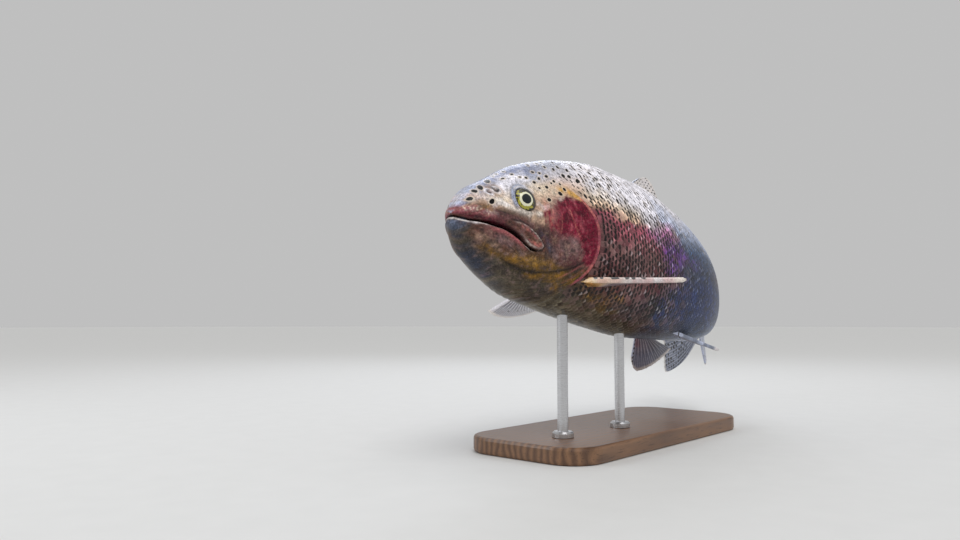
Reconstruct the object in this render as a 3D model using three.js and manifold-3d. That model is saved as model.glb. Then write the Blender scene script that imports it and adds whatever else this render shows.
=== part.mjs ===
// Rainbow trout, a life-size model on a plain display stand.
// Millimetres, +Z up. The snout points to -X, the fish's left side faces -Y.
// The origin is the middle of the stand base's underside.

import * as THREE from 'three';
import { mergeVertices } from 'three/addons/utils/BufferGeometryUtils.js';
import Module from 'manifold-3d';

const wasm = await Module();
wasm.setup();

// Driving dimensions of the fish. Lengths along the body are shares of the standard length,
// which runs from the snout to the root of the tail fin.
const standardLength = 560;
const partingGap = 0.35;
const ringSides = 26;

// How the swimming fish lies on its stand.
const headUp = 6.2;
const bellyTurn = -9;
const snout = { x: -236, y: -4, z: 190 };

// Body outline at each place: height above the spine, depth below it, and half the width.
const outline = [
  { at: 0.000, above: 0.0156, below: 0.0265, half: 0.0150 },
  { at: 0.015, above: 0.0252, below: 0.0397, half: 0.0241 },
  { at: 0.040, above: 0.0431, below: 0.0554, half: 0.0334 },
  { at: 0.080, above: 0.0661, below: 0.0788, half: 0.0445 },
  { at: 0.130, above: 0.0967, below: 0.0972, half: 0.0533 },
  { at: 0.190, above: 0.1217, below: 0.1048, half: 0.0630 },
  { at: 0.250, above: 0.1382, below: 0.1098, half: 0.0786 },
  { at: 0.330, above: 0.1505, below: 0.1170, half: 0.0870 },
  { at: 0.430, above: 0.1502, below: 0.1246, half: 0.0869 },
  { at: 0.530, above: 0.1347, below: 0.1205, half: 0.0784 },
  { at: 0.630, above: 0.1085, below: 0.1146, half: 0.0644 },
  { at: 0.730, above: 0.0821, below: 0.0964, half: 0.0484 },
  { at: 0.830, above: 0.0608, below: 0.0685, half: 0.0325 },
  { at: 0.920, above: 0.0514, below: 0.0538, half: 0.0181 },
  { at: 1.000, above: 0.0555, below: 0.0570, half: 0.0085 },
  { at: 1.030, above: 0.0560, below: 0.0580, half: 0.0035 },
];
const sideFullness = 0.9;
const bellyFullness = 0.95;
const snoutTip = 0.0105;
const snoutRounding = 0.032;

// Heading of the spine at each place, in degrees away from the head's own line.
const swimBend = [
  { at: 0.00, turn: 0 },
  { at: 0.22, turn: 0 },
  { at: 0.40, turn: -2.5 },
  { at: 0.55, turn: -1.4 },
  { at: 0.70, turn: 10.8 },
  { at: 0.85, turn: 25.8 },
  { at: 1.00, turn: 35 },
];

const eye = { at: 0.1125, round: 21, radius: 11.4, bulge: 7.6, sunk: 3.5 };
const coverPlate = { proud: 0.9, depth: 4 };
const maxillaPlate = { proud: 1, depth: 2.2 };
const stalkStart = 0.8;

const base = { length: 300, width: 124, height: 14, corner: 30, edge: 2.5 };
const rod = { radius: 4.5, sides: 32, collarRadius: 9, collarHeight: 5 };
const rodPlaces = { stand_rod_front: -104, stand_rod_rear: -20 };

const degrees = Math.PI / 180;

// Smooth curve through points that never overshoots them.
function curveThrough(points, key) {
  const xs = points.map((point) => point.at);
  const ys = points.map((point) => point[key]);
  const last = xs.length - 1;
  const step = (i) => xs[i + 1] - xs[i];
  const slope = (i) => (ys[i + 1] - ys[i]) / step(i);
  const tangents = xs.map((x, i) => {
    if (i === 0 || i === last) return slope(Math.min(i, last - 1));
    const before = slope(i - 1);
    const after = slope(i);
    if (before * after <= 0) return 0;
    const weightBefore = 2 * step(i) + step(i - 1);
    const weightAfter = step(i) + 2 * step(i - 1);
    return (weightBefore + weightAfter) / (weightBefore / before + weightAfter / after);
  });
  return (x) => {
    if (x <= xs[0]) return ys[0];
    if (x >= xs[last]) return ys[last];
    let i = 0;
    while (x > xs[i + 1]) i += 1;
    const t = (x - xs[i]) / step(i);
    const rise = tangents[i] * step(i);
    const fall = tangents[i + 1] * step(i);
    return (2 * t ** 3 - 3 * t ** 2 + 1) * ys[i] + (t ** 3 - 2 * t ** 2 + t) * rise
      + (3 * t ** 2 - 2 * t ** 3) * ys[i + 1] + (t ** 3 - t ** 2) * fall;
  };
}

const heightAbove = curveThrough(outline, 'above');
const depthBelow = curveThrough(outline, 'below');
const halfWidth = curveThrough(outline, 'half');
const turnAt = curveThrough(swimBend, 'turn');

// The spine is walked in short steps, so that its length is kept while it bends.
const spineSteps = 500;
const spineReach = 1.25;
const spineWalk = [{ x: 0, y: 0 }];
for (let i = 0; i < spineSteps; i += 1) {
  const stride = (spineReach / spineSteps) * standardLength;
  const heading = turnAt(((i + 0.5) / spineSteps) * spineReach) * degrees;
  const { x, y } = spineWalk[i];
  spineWalk.push({ x: x + stride * Math.cos(heading), y: y + stride * Math.sin(heading) });
}

function spineAt(at) {
  const place = (at / spineReach) * spineSteps;
  const i = Math.max(0, Math.min(spineSteps - 1, Math.floor(place)));
  const share = place - i;
  const a = spineWalk[i];
  const b = spineWalk[i + 1];
  return { x: a.x + (b.x - a.x) * share, y: a.y + (b.y - a.y) * share, heading: turnAt(at) * degrees };
}

// From body coordinates (place along the spine, out to the left, up) to the fish's own frame.
function inFish(at, left, up) {
  const spine = spineAt(at);
  return new THREE.Vector3(
    spine.x + left * Math.sin(spine.heading),
    spine.y - left * Math.cos(spine.heading),
    up,
  );
}

// A direction in body coordinates (back, left, up) turned into the fish's own frame.
function turned(at, [back, left, up]) {
  const { heading } = spineAt(at);
  return new THREE.Vector3(
    back * Math.cos(heading) + left * Math.sin(heading),
    back * Math.sin(heading) - left * Math.cos(heading),
    up,
  );
}

// Skin of the body: round is 0 at the left side, 90 at the back, -90 at the belly.
function sectionPoint(at, round, proud = 0) {
  const c = Math.cos(round * degrees);
  const s = Math.sin(round * degrees);
  const flat = Math.max(0, 1 - (at - snoutTip) / snoutRounding);
  const tip = Math.sqrt(Math.max(0, 1 - flat ** 2));
  const half = tip * halfWidth(at) * standardLength + proud;
  const above = tip * heightAbove(at) * standardLength + proud;
  const below = tip * depthBelow(at) * standardLength + proud;
  const left = half * Math.sign(c) * Math.abs(c) ** sideFullness;
  const up = s > 0 ? above * s : -below * Math.abs(s) ** bellyFullness;
  return { left, up };
}

function skinPoint(at, round, proud = 0) {
  const { left, up } = sectionPoint(at, round, proud);
  return inFish(at, left, up);
}

// Places of the loft's rings: close on the snout, wider along the trunk.
function ringPlaces() {
  const places = [];
  for (let i = 1; i <= 4; i += 1) {
    places.push(snoutTip + snoutRounding * (1 - Math.cos((i / 4) * 90 * degrees)));
  }
  for (let at = 0.065; at < 0.26; at += 0.0265) places.push(at);
  for (let at = 0.285; at < 1; at += 0.043) places.push(at);
  places.push(1, 1.03);
  return places;
}

function meshFrom(positions, index) {
  const geometry = new THREE.BufferGeometry();
  geometry.setAttribute('position', new THREE.Float32BufferAttribute(positions, 3));
  geometry.setIndex(index);
  return geometry;
}

// Closed surface from rings of points, with a point at each end.
function loft(rings, start, end) {
  const sides = rings[0].length;
  const positions = [start, ...rings.flat(), end].flatMap((point) => point.toArray());
  const index = [];
  const vertex = (ring, side) => 1 + ring * sides + (side % sides);
  const endVertex = 1 + rings.length * sides;
  for (let side = 0; side < sides; side += 1) {
    index.push(0, vertex(0, side), vertex(0, side + 1));
    index.push(endVertex, vertex(rings.length - 1, side + 1), vertex(rings.length - 1, side));
    for (let ring = 0; ring < rings.length - 1; ring += 1) {
      const a = vertex(ring, side);
      const b = vertex(ring, side + 1);
      const c = vertex(ring + 1, side + 1);
      const d = vertex(ring + 1, side);
      index.push(a, c, b, a, d, c);
    }
  }
  return meshFrom(positions, index);
}

function bodyLoft(proud = 0) {
  const places = ringPlaces();
  const rings = places.map((at) => Array.from(
    { length: ringSides },
    (unused, side) => skinPoint(at, (side / ringSides) * 360, proud),
  ));
  const start = inFish(snoutTip, 0, 0).add(new THREE.Vector3(-proud, 0, 0));
  return loft(rings, start, inFish(places.at(-1) + 0.0001, 0, 0));
}

// Between three.js geometry and a solid that can be cut and joined.
function solidOf(geometry) {
  const bare = geometry.clone();
  bare.deleteAttribute('normal');
  bare.deleteAttribute('uv');
  const merged = mergeVertices(bare, 1e-5);
  const mesh = new wasm.Mesh({
    numProp: 3,
    vertProperties: new Float32Array(merged.attributes.position.array),
    triVerts: new Uint32Array(merged.index.array),
  });
  mesh.merge();
  return new wasm.Manifold(mesh);
}

function geometryOf(solid) {
  const mesh = solid.getMesh();
  const geometry = new THREE.BufferGeometry();
  geometry.setAttribute('position', new THREE.BufferAttribute(mesh.vertProperties, 3));
  geometry.setIndex(new THREE.BufferAttribute(mesh.triVerts, 1));
  return geometry;
}

// A side outline pushed across the fish. Side is 1 for the left, -1 for the right, 0 for both.
const acrossReach = 90;
function acrossFish(points, side = 0, grow = 0) {
  const corners = points.map(([back, up]) => new THREE.Vector2(back, up));
  const middle = new THREE.Vector2();
  corners.forEach((corner) => middle.addScaledVector(corner, 1 / corners.length));
  const grown = corners.map((corner) => {
    const away = corner.clone().sub(middle);
    return away.setLength(away.length() + grow).add(middle);
  });
  const shape = new THREE.Shape(grown);
  const depth = side === 0 ? 2 * acrossReach : acrossReach;
  const geometry = new THREE.ExtrudeGeometry(shape, { depth, bevelEnabled: false });
  geometry.rotateX(90 * degrees);
  geometry.translate(0, side === 1 ? 0 : acrossReach, 0);
  return solidOf(geometry);
}

// Points on a smooth closed or open curve through a few drawn ones.
function rounded(points, count, closed) {
  const drawnPoints = points.map(([x, y]) => new THREE.Vector3(x, y, 0));
  const curve = new THREE.CatmullRomCurve3(drawnPoints, closed, 'centripetal');
  const drawn = curve.getPoints(count).map((point) => [point.x, point.y]);
  if (closed) drawn.pop();
  return drawn;
}

// Side outlines on the head, in millimetres back from the snout and up from the spine.
const gillEdge = [
  [105, 48], [115, 38], [129.5, 25], [138, 12], [139.5, 4], [138.5, -8], [135.5, -20], [129, -32],
  [117, -43], [101, -54],
];
const coverFront = [[92, -40], [88, -18], [86, 6], [92, 24]];
const maxillaEdge = [
  [36, -1.6], [49, -2.2], [62, -4.2], [70, -8.6], [76, -13.8], [78.6, -18.4],
  [76, -21.4], [68, -21], [58, -16], [47.5, -9], [38, -6],
];
const upperLip = [[-6, -1.6], [7, -2.6], [13, -5.2], [28, -6.8], [42, -9], [54, -14.2], [66, -21.4]];
const lowerLip = [[-6, -3], [7, -4.8], [13, -7.4], [28, -9], [42, -11.2], [54, -16.4], [66, -23.4]];
const jawHinge = [[86, -32], [93, -46], [90, -70]];
const headBox = { front: -20, top: 100, bottom: -90, nape: 100, throat: 92 };

// All of the fish ahead of the gill openings.
function headPrism(grow) {
  const { front, top, bottom, nape, throat } = headBox;
  const rear = rounded(gillEdge, 16, false).map(([back, up]) => [back + grow, up]);
  return acrossFish([[front, top], [nape + grow, top], ...rear, [throat + grow, bottom], [front, bottom]]);
}

// The lower jaw below a lip line and ahead of its hinge.
function jawPrism(lip, grow) {
  const hinge = jawHinge.map(([back, up]) => [back + grow, up + grow]);
  const chin = [[headBox.front, jawHinge.at(-1)[1]], [headBox.front, lip[0][1]]];
  return acrossFish([...rounded(lip, 14, false), ...hinge, ...chin]);
}

function coverOutline() {
  const rear = rounded(gillEdge.slice(1, -1), 14, false);
  const front = rounded(coverFront, 6, false);
  return [...rear, ...front];
}

// A thin plate that follows the skin inside a side outline, and the pocket that it sits in.
function plateOn(points, plate, side) {
  const outer = solidOf(bodyLoft(plate.proud));
  const inner = solidOf(bodyLoft(-plate.depth));
  return outer.subtract(inner).intersect(acrossFish(points, side));
}

function pocketFor(points, plate, side) {
  return acrossFish(points, side, partingGap).subtract(solidOf(bodyLoft(-plate.depth - partingGap)));
}

const fish = new THREE.Group();
fish.rotation.set(bellyTurn * degrees, headUp * degrees, 0, 'YXZ');
fish.position.set(snout.x, snout.y, snout.z);
fish.updateMatrixWorld(true);

const stand = new THREE.Group();

function addPiece(group, name, geometry, colour, roughness, metalness = 0) {
  const material = new THREE.MeshStandardMaterial({ color: colour, roughness, metalness });
  const piece = new THREE.Mesh(geometry, material);
  piece.name = name;
  group.add(piece);
  return piece;
}

const body = solidOf(bodyLoft());
const sides = [{ word: 'left', side: 1 }, { word: 'right', side: -1 }];

// Everything behind this place on the spine.
function behind(at, grow = 0) {
  const reach = 400;
  const box = new THREE.BoxGeometry(reach, reach, reach);
  box.translate(reach / 2 + grow, 0, 0);
  const spine = spineAt(at);
  box.rotateZ(spine.heading);
  box.translate(spine.x, spine.y, 0);
  return solidOf(box);
}

// A flattened ball that looks out along the skin's own normal.
function eyeBall(side, grow = 0) {
  const place = (at, round) => skinPoint(at, side === 1 ? round : 180 - round);
  const seat = place(eye.at, eye.round);
  const back = place(eye.at + 0.004, eye.round).sub(place(eye.at - 0.004, eye.round));
  const over = place(eye.at, eye.round + 2).sub(place(eye.at, eye.round - 2));
  const outwards = back.clone().cross(over).multiplyScalar(side).normalize();
  const ball = new THREE.SphereGeometry(1, 20, 12);
  ball.scale(eye.radius + grow, eye.bulge + grow, eye.radius + grow);
  const turn = new THREE.Quaternion().setFromUnitVectors(new THREE.Vector3(0, 1, 0), outwards);
  ball.applyQuaternion(turn);
  const middle = seat.addScaledVector(outwards, -eye.sunk);
  ball.translate(middle.x, middle.y, middle.z);
  return ball;
}

function buildHead() {
  let head = body.intersect(headPrism(0));
  for (const { side } of sides) {
    head = head.subtract(pocketFor(coverOutline(), coverPlate, side));
    head = head.subtract(pocketFor(rounded(maxillaEdge, 22, true), maxillaPlate, side));
    head = head.subtract(solidOf(eyeBall(side, partingGap)));
  }
  const jaw = head.intersect(jawPrism(lowerLip, 0));
  const skull = head.subtract(jawPrism(upperLip, partingGap));
  addPiece(fish, 'head', geometryOf(skull), 0x9a8278, 0.4);
  addPiece(fish, 'lower_jaw', geometryOf(jaw), 0x6d5f52, 0.4);
  for (const { word, side } of sides) {
    const cover = plateOn(coverOutline(), coverPlate, side).intersect(headPrism(0));
    const maxilla = plateOn(rounded(maxillaEdge, 22, true), maxillaPlate, side);
    addPiece(fish, `gill_cover_${word}`, geometryOf(cover), 0xa8324e, 0.35);
    addPiece(fish, `maxilla_${word}`, geometryOf(maxilla), 0x8d6a5c, 0.4);
    addPiece(fish, `eye_${word}`, eyeBall(side), 0xb9a94a, 0.1);
  }
}

function buildTrunk() {
  const trunk = body.subtract(headPrism(partingGap)).subtract(behind(stalkStart));
  const stalk = body.intersect(behind(stalkStart, partingGap));
  addPiece(fish, 'trunk', geometryOf(trunk), 0x7d6d74, 0.38);
  addPiece(fish, 'tail_stalk', geometryOf(stalk), 0x5d6270, 0.38);
}

// Fins. Root ends are places on the skin, rays are directions (back, out, up) at the root.
const shape = {
  // Length of a ray at each share of the way from the front ray to the rear one.
  raked: (t) => 0.86 + 0.14 * Math.sin(Math.min(1, 3.2 * t) * 90 * degrees) - 0.56 * t ** 1.3,
  sail: (t) => 0.72 + 0.28 * Math.sin(Math.min(1, 3 * t) * 90 * degrees) - 0.39 * t ** 1.86,
  paired: (t) => 0.93 + 0.07 * Math.sin(Math.min(1, 6 * t) * 90 * degrees) - 0.52 * t ** 1.5,
  fan: (t) => 0.92 + 0.08 * Math.sin(Math.min(1, 5 * t) * 90 * degrees) - 0.22 * t ** 1.3,
  paddle: (t) => 0.61 + 0.39 * Math.sin(Math.min(1, 5 * t) * 90 * degrees) - 0.34 * t ** 1.88,
  forked: (t) => 0.7 + 0.3 * Math.abs(2 * t - 1) ** 1.8 - 0.16 * Math.abs(2 * t - 1) ** 16,
  lobe: (t) => 0.6 + 0.4 * Math.sin(t * 180 * degrees),
};

// Root ends are places on the skin (along the spine, round the body). Rays point back, out and up.
// A bow spreads the rays' middles away from the fin's own middle, and a spar thickens the first ray,
// both in millimetres.
const fins = [
  {
    name: 'dorsal_fin', from: [0.462, 90], to: [0.56, 90], length: 62, shape: shape.sail, thick: [2.4, 0.8],
    front: [0.877, -0.137, 0.477], rear: [0.686, -0.21, 0.478], bulge: [0, 0, 0.09],
  },
  {
    name: 'adipose_fin', from: [0.845, 90], to: [0.872, 90], length: 21, shape: shape.lobe, thick: [3.4, 1.8],
    front: [0.8, 0, 0.6], rear: [0.97, 0, 0.25], bulge: [0, 0, 0],
  },
  {
    name: 'anal_fin', from: [0.735, -90], to: [0.825, -90], length: 58, shape: shape.raked, thick: [2.4, 0.8],
    front: [0.84, -0.1, -0.52], rear: [0.96, -0.05, -0.24], bulge: [0, 0, 0],
  },
  {
    name: 'tail_fin', from: [0.995, 88], to: [0.995, -88], length: 106, shape: shape.forked, thick: [4, 0.9],
    front: [0.85, -0.35, 0.4], rear: [0.85, -0.35, -0.4], bulge: [-0.02, -0.1, 0], bow: 9,
  },
  {
    name: 'pectoral_fin_left', side: 1, from: [0.229, -38], to: [0.249, -42], length: 85, shape: shape.paired,
    thick: [3.2, 0.8], spar: 3.6, front: [0.664, 0.746, -0.045], rear: [0.96, 0.25, 0.15], bulge: [0, 0, 0],
  },
  {
    name: 'pectoral_fin_right', side: -1, from: [0.229, -35], to: [0.249, -43], length: 79.5,
    shape: shape.fan, thick: [3.2, 0.8], spar: 1.6,
    front: [0.484, 0.951, -0.033], rear: [0.809, 0.426, 0.055], bulge: [0, 0, -0.072],
  },
  {
    name: 'pelvic_fin_left', side: 1, from: [0.535, -69], to: [0.56, -76], length: 63, shape: shape.paired,
    thick: [2.8, 0.8], spar: 2.4, front: [0.924, 0.281, -0.259], rear: [0.985, 0.03, -0.12], bulge: [0, 0, 0],
  },
  {
    name: 'pelvic_fin_right', side: -1, from: [0.515, -63], to: [0.545, -78], length: 61.5,
    shape: shape.paddle, thick: [2.8, 0.8], spar: 1.2,
    front: [0.727, 0.654, -0.547], rear: [0.83, 0.081, -0.112], bulge: [0, 0, -0.053],
  },
];
const finRays = 10;
const finSteps = 5;
const rootSunk = 7;

// A thin leaf: rays fan out from the root, thick at the root and thin at the rim.
function finLeaf(plan) {
  const side = plan.side ?? 1;
  const [fromAt, fromRound] = plan.from;
  const [toAt, toRound] = plan.to;
  const mirrored = (round) => (side === 1 ? round : 180 - round);
  const middle = [];
  for (let i = 0; i <= finRays; i += 1) {
    const t = i / finRays;
    const at = fromAt + (toAt - fromAt) * t;
    const root = skinPoint(at, mirrored(fromRound + (toRound - fromRound) * t));
    const ray = turned(at, plan.front.map((value, axis) => {
      const mixed = value + (plan.rear[axis] - value) * t + plan.bulge[axis] * Math.sin(t * 180 * degrees);
      return axis === 1 ? mixed * side : mixed;
    })).normalize();
    const row = [];
    for (let j = 0; j <= finSteps; j += 1) {
      const out = j / finSteps;
      const reach = out * (plan.length * plan.shape(t) + rootSunk) - rootSunk;
      const point = root.clone().addScaledVector(ray, reach);
      point.z += (plan.bow ?? 0) * (1 - 2 * t) * Math.sin(out * 180 * degrees);
      row.push(point);
    }
    middle.push(row);
  }
  const normals = middle.map((row, i) => row.map((point, j) => {
    const alongRoot = middle[Math.min(i + 1, finRays)][j].clone().sub(middle[Math.max(i - 1, 0)][j]);
    const alongRay = row[Math.min(j + 1, finSteps)].clone().sub(row[Math.max(j - 1, 0)]);
    return alongRoot.cross(alongRay).normalize();
  }));
  const leaf = (way) => middle.map((row, i) => row.map((point, j) => {
    const out = j / finSteps;
    const spar = i === 0 ? (plan.spar ?? 0) * (1 - 0.45 * out) : 0;
    const half = (plan.thick[0] + (plan.thick[1] - plan.thick[0]) * out + spar) / 2;
    return point.clone().addScaledVector(normals[i][j], way * half);
  }));
  const top = leaf(1);
  const under = leaf(-1);
  const rings = top.map((row, i) => [...row, ...under[i].slice().reverse()]);
  return closedStrip(rings);
}

// Closed surface from rings that each go round one ray, with flat ends.
function closedStrip(rings) {
  const count = rings[0].length;
  const positions = rings.flat().flatMap((point) => point.toArray());
  const index = [];
  for (let ring = 0; ring < rings.length - 1; ring += 1) {
    for (let k = 0; k < count; k += 1) {
      const a = ring * count + k;
      const b = ring * count + ((k + 1) % count);
      index.push(a, b, b + count, a, b + count, a + count);
    }
  }
  const half = count / 2;
  for (const [ring, flip] of [[0, false], [rings.length - 1, true]]) {
    for (let k = 0; k < half - 1; k += 1) {
      const a = ring * count + k;
      const b = a + 1;
      const c = ring * count + (count - 2 - k);
      const d = ring * count + (count - 1 - k);
      if (flip) index.push(a, b, c, a, c, d);
      else index.push(a, c, b, a, d, c);
    }
  }
  return meshFrom(positions, index);
}

// Turns a closed surface so that its faces look out.
function outward(geometry) {
  const index = geometry.index.array;
  const points = geometry.attributes.position;
  const corner = (i) => new THREE.Vector3().fromBufferAttribute(points, index[i]);
  let volume = 0;
  for (let i = 0; i < index.length; i += 3) {
    volume += corner(i).dot(corner(i + 1).cross(corner(i + 2)));
  }
  if (volume < 0) {
    for (let i = 0; i < index.length; i += 3) {
      [index[i], index[i + 1]] = [index[i + 1], index[i]];
    }
  }
  return geometry;
}

function buildFins() {
  const room = solidOf(bodyLoft(coverPlate.proud + partingGap));
  for (const plan of fins) {
    const fin = solidOf(outward(finLeaf(plan))).subtract(room);
    addPiece(fish, plan.name, geometryOf(fin), 0xb9b4bd, 0.4);
  }
}

function standBase() {
  const { length, width, height, corner, edge } = base;
  const x = length / 2 - edge;
  const y = width / 2 - edge;
  const r = corner - edge;
  const plan = new THREE.Shape();
  plan.moveTo(-x + r, -y);
  plan.lineTo(x - r, -y);
  plan.absarc(x - r, -y + r, r, -90 * degrees, 0);
  plan.absarc(x - r, y - r, r, 0, 90 * degrees);
  plan.absarc(-x + r, y - r, r, 90 * degrees, 180 * degrees);
  plan.absarc(-x + r, -y + r, r, 180 * degrees, 270 * degrees);
  const geometry = new THREE.ExtrudeGeometry(plan, {
    depth: height - 2 * edge,
    bevelThickness: edge,
    bevelSize: edge,
    bevelSegments: 2,
    curveSegments: 6,
  });
  geometry.translate(0, 0, edge);
  return geometry;
}

// A rod with a collar on the base, its top shaped to the belly that it carries.
function standRod(place) {
  const start = base.height + partingGap;
  const profile = [
    [0, start],
    [rod.collarRadius, start],
    [rod.collarRadius, start + rod.collarHeight - 1.5],
    [rod.collarRadius - 1.5, start + rod.collarHeight],
    [rod.radius, start + rod.collarHeight],
    [rod.radius, snout.z],
    [0, snout.z],
  ].map(([radius, height]) => new THREE.Vector2(radius, height));
  const geometry = new THREE.LatheGeometry(profile, rod.sides);
  geometry.rotateX(90 * degrees);
  geometry.translate(place.x, place.y, 0);
  const room = bodyLoft(partingGap);
  room.applyMatrix4(fish.matrixWorld);
  const parts = solidOf(outward(geometry)).subtract(solidOf(room)).decompose();
  return parts.sort((a, b) => a.boundingBox().min[2] - b.boundingBox().min[2])[0];
}

// Where a rod meets the belly's lowest line.
function underBelly(x) {
  let best = null;
  for (let at = 0.1; at < 0.9; at += 0.002) {
    const keel = skinPoint(at, -90).applyMatrix4(fish.matrixWorld);
    if (best === null || Math.abs(keel.x - x) < Math.abs(best.x - x)) best = keel;
  }
  return best;
}

function buildStand() {
  addPiece(stand, 'stand_base', standBase(), 0x4a3326, 0.45);
  for (const [name, x] of Object.entries(rodPlaces)) {
    addPiece(stand, name, geometryOf(standRod(underBelly(x))), 0xb8babd, 0.3, 1);
  }
}

buildHead();
buildTrunk();
buildFins();
buildStand();

const model = new THREE.Group();
model.add(fish, stand);

export default model;
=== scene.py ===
# Rainbow trout, life size, swimming on a plain display stand.
# Lengths are in millimetres in the fish's own frame until toWorld turns them into metres in the row frame.
# The snout points to -X, the fish's left side faces -Y, +Z is up.
import math
import bpy
import numpy as np
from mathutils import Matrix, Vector


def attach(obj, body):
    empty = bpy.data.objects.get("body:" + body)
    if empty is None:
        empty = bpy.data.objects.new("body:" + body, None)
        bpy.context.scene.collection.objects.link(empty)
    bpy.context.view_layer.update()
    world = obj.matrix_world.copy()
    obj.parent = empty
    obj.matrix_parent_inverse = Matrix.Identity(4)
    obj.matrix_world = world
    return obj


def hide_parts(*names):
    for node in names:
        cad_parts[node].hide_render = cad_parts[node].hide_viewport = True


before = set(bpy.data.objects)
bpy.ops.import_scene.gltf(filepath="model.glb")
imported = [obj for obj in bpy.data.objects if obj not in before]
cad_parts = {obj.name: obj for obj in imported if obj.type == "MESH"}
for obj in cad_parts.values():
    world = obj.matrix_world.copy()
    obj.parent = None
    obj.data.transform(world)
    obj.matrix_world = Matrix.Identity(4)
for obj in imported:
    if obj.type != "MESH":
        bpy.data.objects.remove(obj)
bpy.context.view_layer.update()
bpy.ops.object.select_all(action="DESELECT")
random = np.random.default_rng(4127)

# The body: heights and half widths at places along it, all as shares of its length.
body = {
    "length": 560.0,  # snout to the root of the tail fin
    "headUp": 6.2,
    "bellyTurn": -9.0,
    "snout": (-236.0, -4.0, 190.0),
    "sideFullness": 0.9,
    "bellyFullness": 0.95,
    "snoutTip": 0.0105,
    "snoutRounding": 0.032,
    "at": [0, .015, .04, .08, .13, .19, .25, .33, .43, .53, .63, .73, .83, .92, 1.0, 1.03],
    "above": [.0156, .0252, .0431, .0661, .0967, .1217, .1382, .1505, .1502, .1347, .1085, .0821,
              .0608, .0514, .0555, .0560],
    "below": [.0265, .0397, .0554, .0788, .0972, .1048, .1098, .1170, .1246, .1205, .1146, .0964,
              .0685, .0538, .0570, .0580],
    "half": [.0150, .0241, .0334, .0445, .0533, .0630, .0786, .0870, .0869, .0784, .0644, .0484,
             .0325, .0181, .0085, .0035],
    "bendAt": [0, .22, .40, .55, .70, .85, 1.0],
    "bendTurn": [0, 0, -2.5, -1.4, 10.8, 25.8, 35],
}


def curveThrough(xs, ys):
    # a smooth curve through points that never overshoots them
    xs = np.asarray(xs, float)
    ys = np.asarray(ys, float)
    step = np.diff(xs)
    slope = np.diff(ys) / step
    tangent = np.concatenate([slope[:1], np.zeros(len(xs) - 2), slope[-1:]])
    for i in range(1, len(xs) - 1):
        before, after = slope[i - 1], slope[i]
        if before * after > 0:
            weightBefore = 2 * step[i] + step[i - 1]
            weightAfter = step[i] + 2 * step[i - 1]
            tangent[i] = (weightBefore + weightAfter) / (weightBefore / before + weightAfter / after)

    def value(x):
        x = np.clip(x, xs[0], xs[-1])
        i = np.clip(np.searchsorted(xs, x, side="right") - 1, 0, len(xs) - 2)
        t = (x - xs[i]) / step[i]
        return ((2 * t ** 3 - 3 * t ** 2 + 1) * ys[i] + (t ** 3 - 2 * t ** 2 + t) * step[i] * tangent[i]
                + (3 * t ** 2 - 2 * t ** 3) * ys[i + 1] + (t ** 3 - t ** 2) * step[i] * tangent[i + 1])

    return value


heightAbove = curveThrough(body["at"], body["above"])
depthBelow = curveThrough(body["at"], body["below"])
halfWidth = curveThrough(body["at"], body["half"])
turnDegrees = curveThrough(body["bendAt"], body["bendTurn"])

spineEnd = 1.25  # past the root of the tail fin
spineSteps = 500
spineAt = np.linspace(0, spineEnd, spineSteps + 1)
spineTurn = np.radians(turnDegrees((spineAt[1:] + spineAt[:-1]) / 2))
stride = spineEnd / spineSteps * body["length"]
spineX = np.concatenate([[0], np.cumsum(np.cos(spineTurn))]) * stride
spineY = np.concatenate([[0], np.cumsum(np.sin(spineTurn))]) * stride


def smooth(low, high, x):
    t = np.clip((x - low) / (high - low), 0, 1)
    return t * t * (3 - 2 * t)


def snoutShare(at, least=0):
    # the body's length, times the share of its full section that the rounded snout has
    flat = np.maximum(0, 1 - (at - body["snoutTip"]) / body["snoutRounding"])
    return np.sqrt(np.maximum(least, 1 - flat ** 2)) * body["length"]


def bodySection(at, angle, proud=0.0):
    # out to the left and up, for an angle of 0 at the left side, 90 at the back, 180 at the right side
    c = np.cos(np.radians(angle))
    s = np.sin(np.radians(angle))
    tip = snoutShare(at)
    half = tip * halfWidth(at) + proud
    above = tip * heightAbove(at) + proud
    below = tip * depthBelow(at) + proud
    left = half * np.sign(c) * np.abs(c) ** body["sideFullness"]
    up = np.where(s > 0, above * s, -below * np.abs(s) ** body["bellyFullness"])
    return left, up


def inFish(at, left, up):
    heading = np.radians(turnDegrees(at))
    x = np.interp(at, spineAt, spineX) + left * np.sin(heading)
    y = np.interp(at, spineAt, spineY) - left * np.cos(heading)
    return np.stack(np.broadcast_arrays(x, y, up), -1)


def turned(at, back, left, up):
    # a direction in body coordinates, turned by the spine's heading
    heading = np.radians(turnDegrees(at))
    x = back * np.cos(heading) + left * np.sin(heading)
    y = back * np.sin(heading) - left * np.cos(heading)
    return np.stack(np.broadcast_arrays(x, y, up), -1)


def bodyPoint(at, angle, proud=0.0):
    left, up = bodySection(at, angle, proud)
    return inFish(at, left, up)


def bodyRadius(at, angle, span):
    # the body's radius of curvature round it, measured over a span of degrees to each side
    chord = np.linalg.norm(bodyPoint(at, angle + span) - bodyPoint(at, angle - span), axis=1)
    return chord / math.radians(2 * span)


def unit(v):
    return v / np.maximum(np.linalg.norm(v, axis=-1, keepdims=True), 1e-9)


def bodyNormal(at, angle):
    alongBody = bodyPoint(at + .002, angle) - bodyPoint(at - .002, angle)
    roundBody = bodyPoint(at, angle + 1.0) - bodyPoint(at, angle - 1.0)
    return unit(np.cross(alongBody, roundBody))


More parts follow.
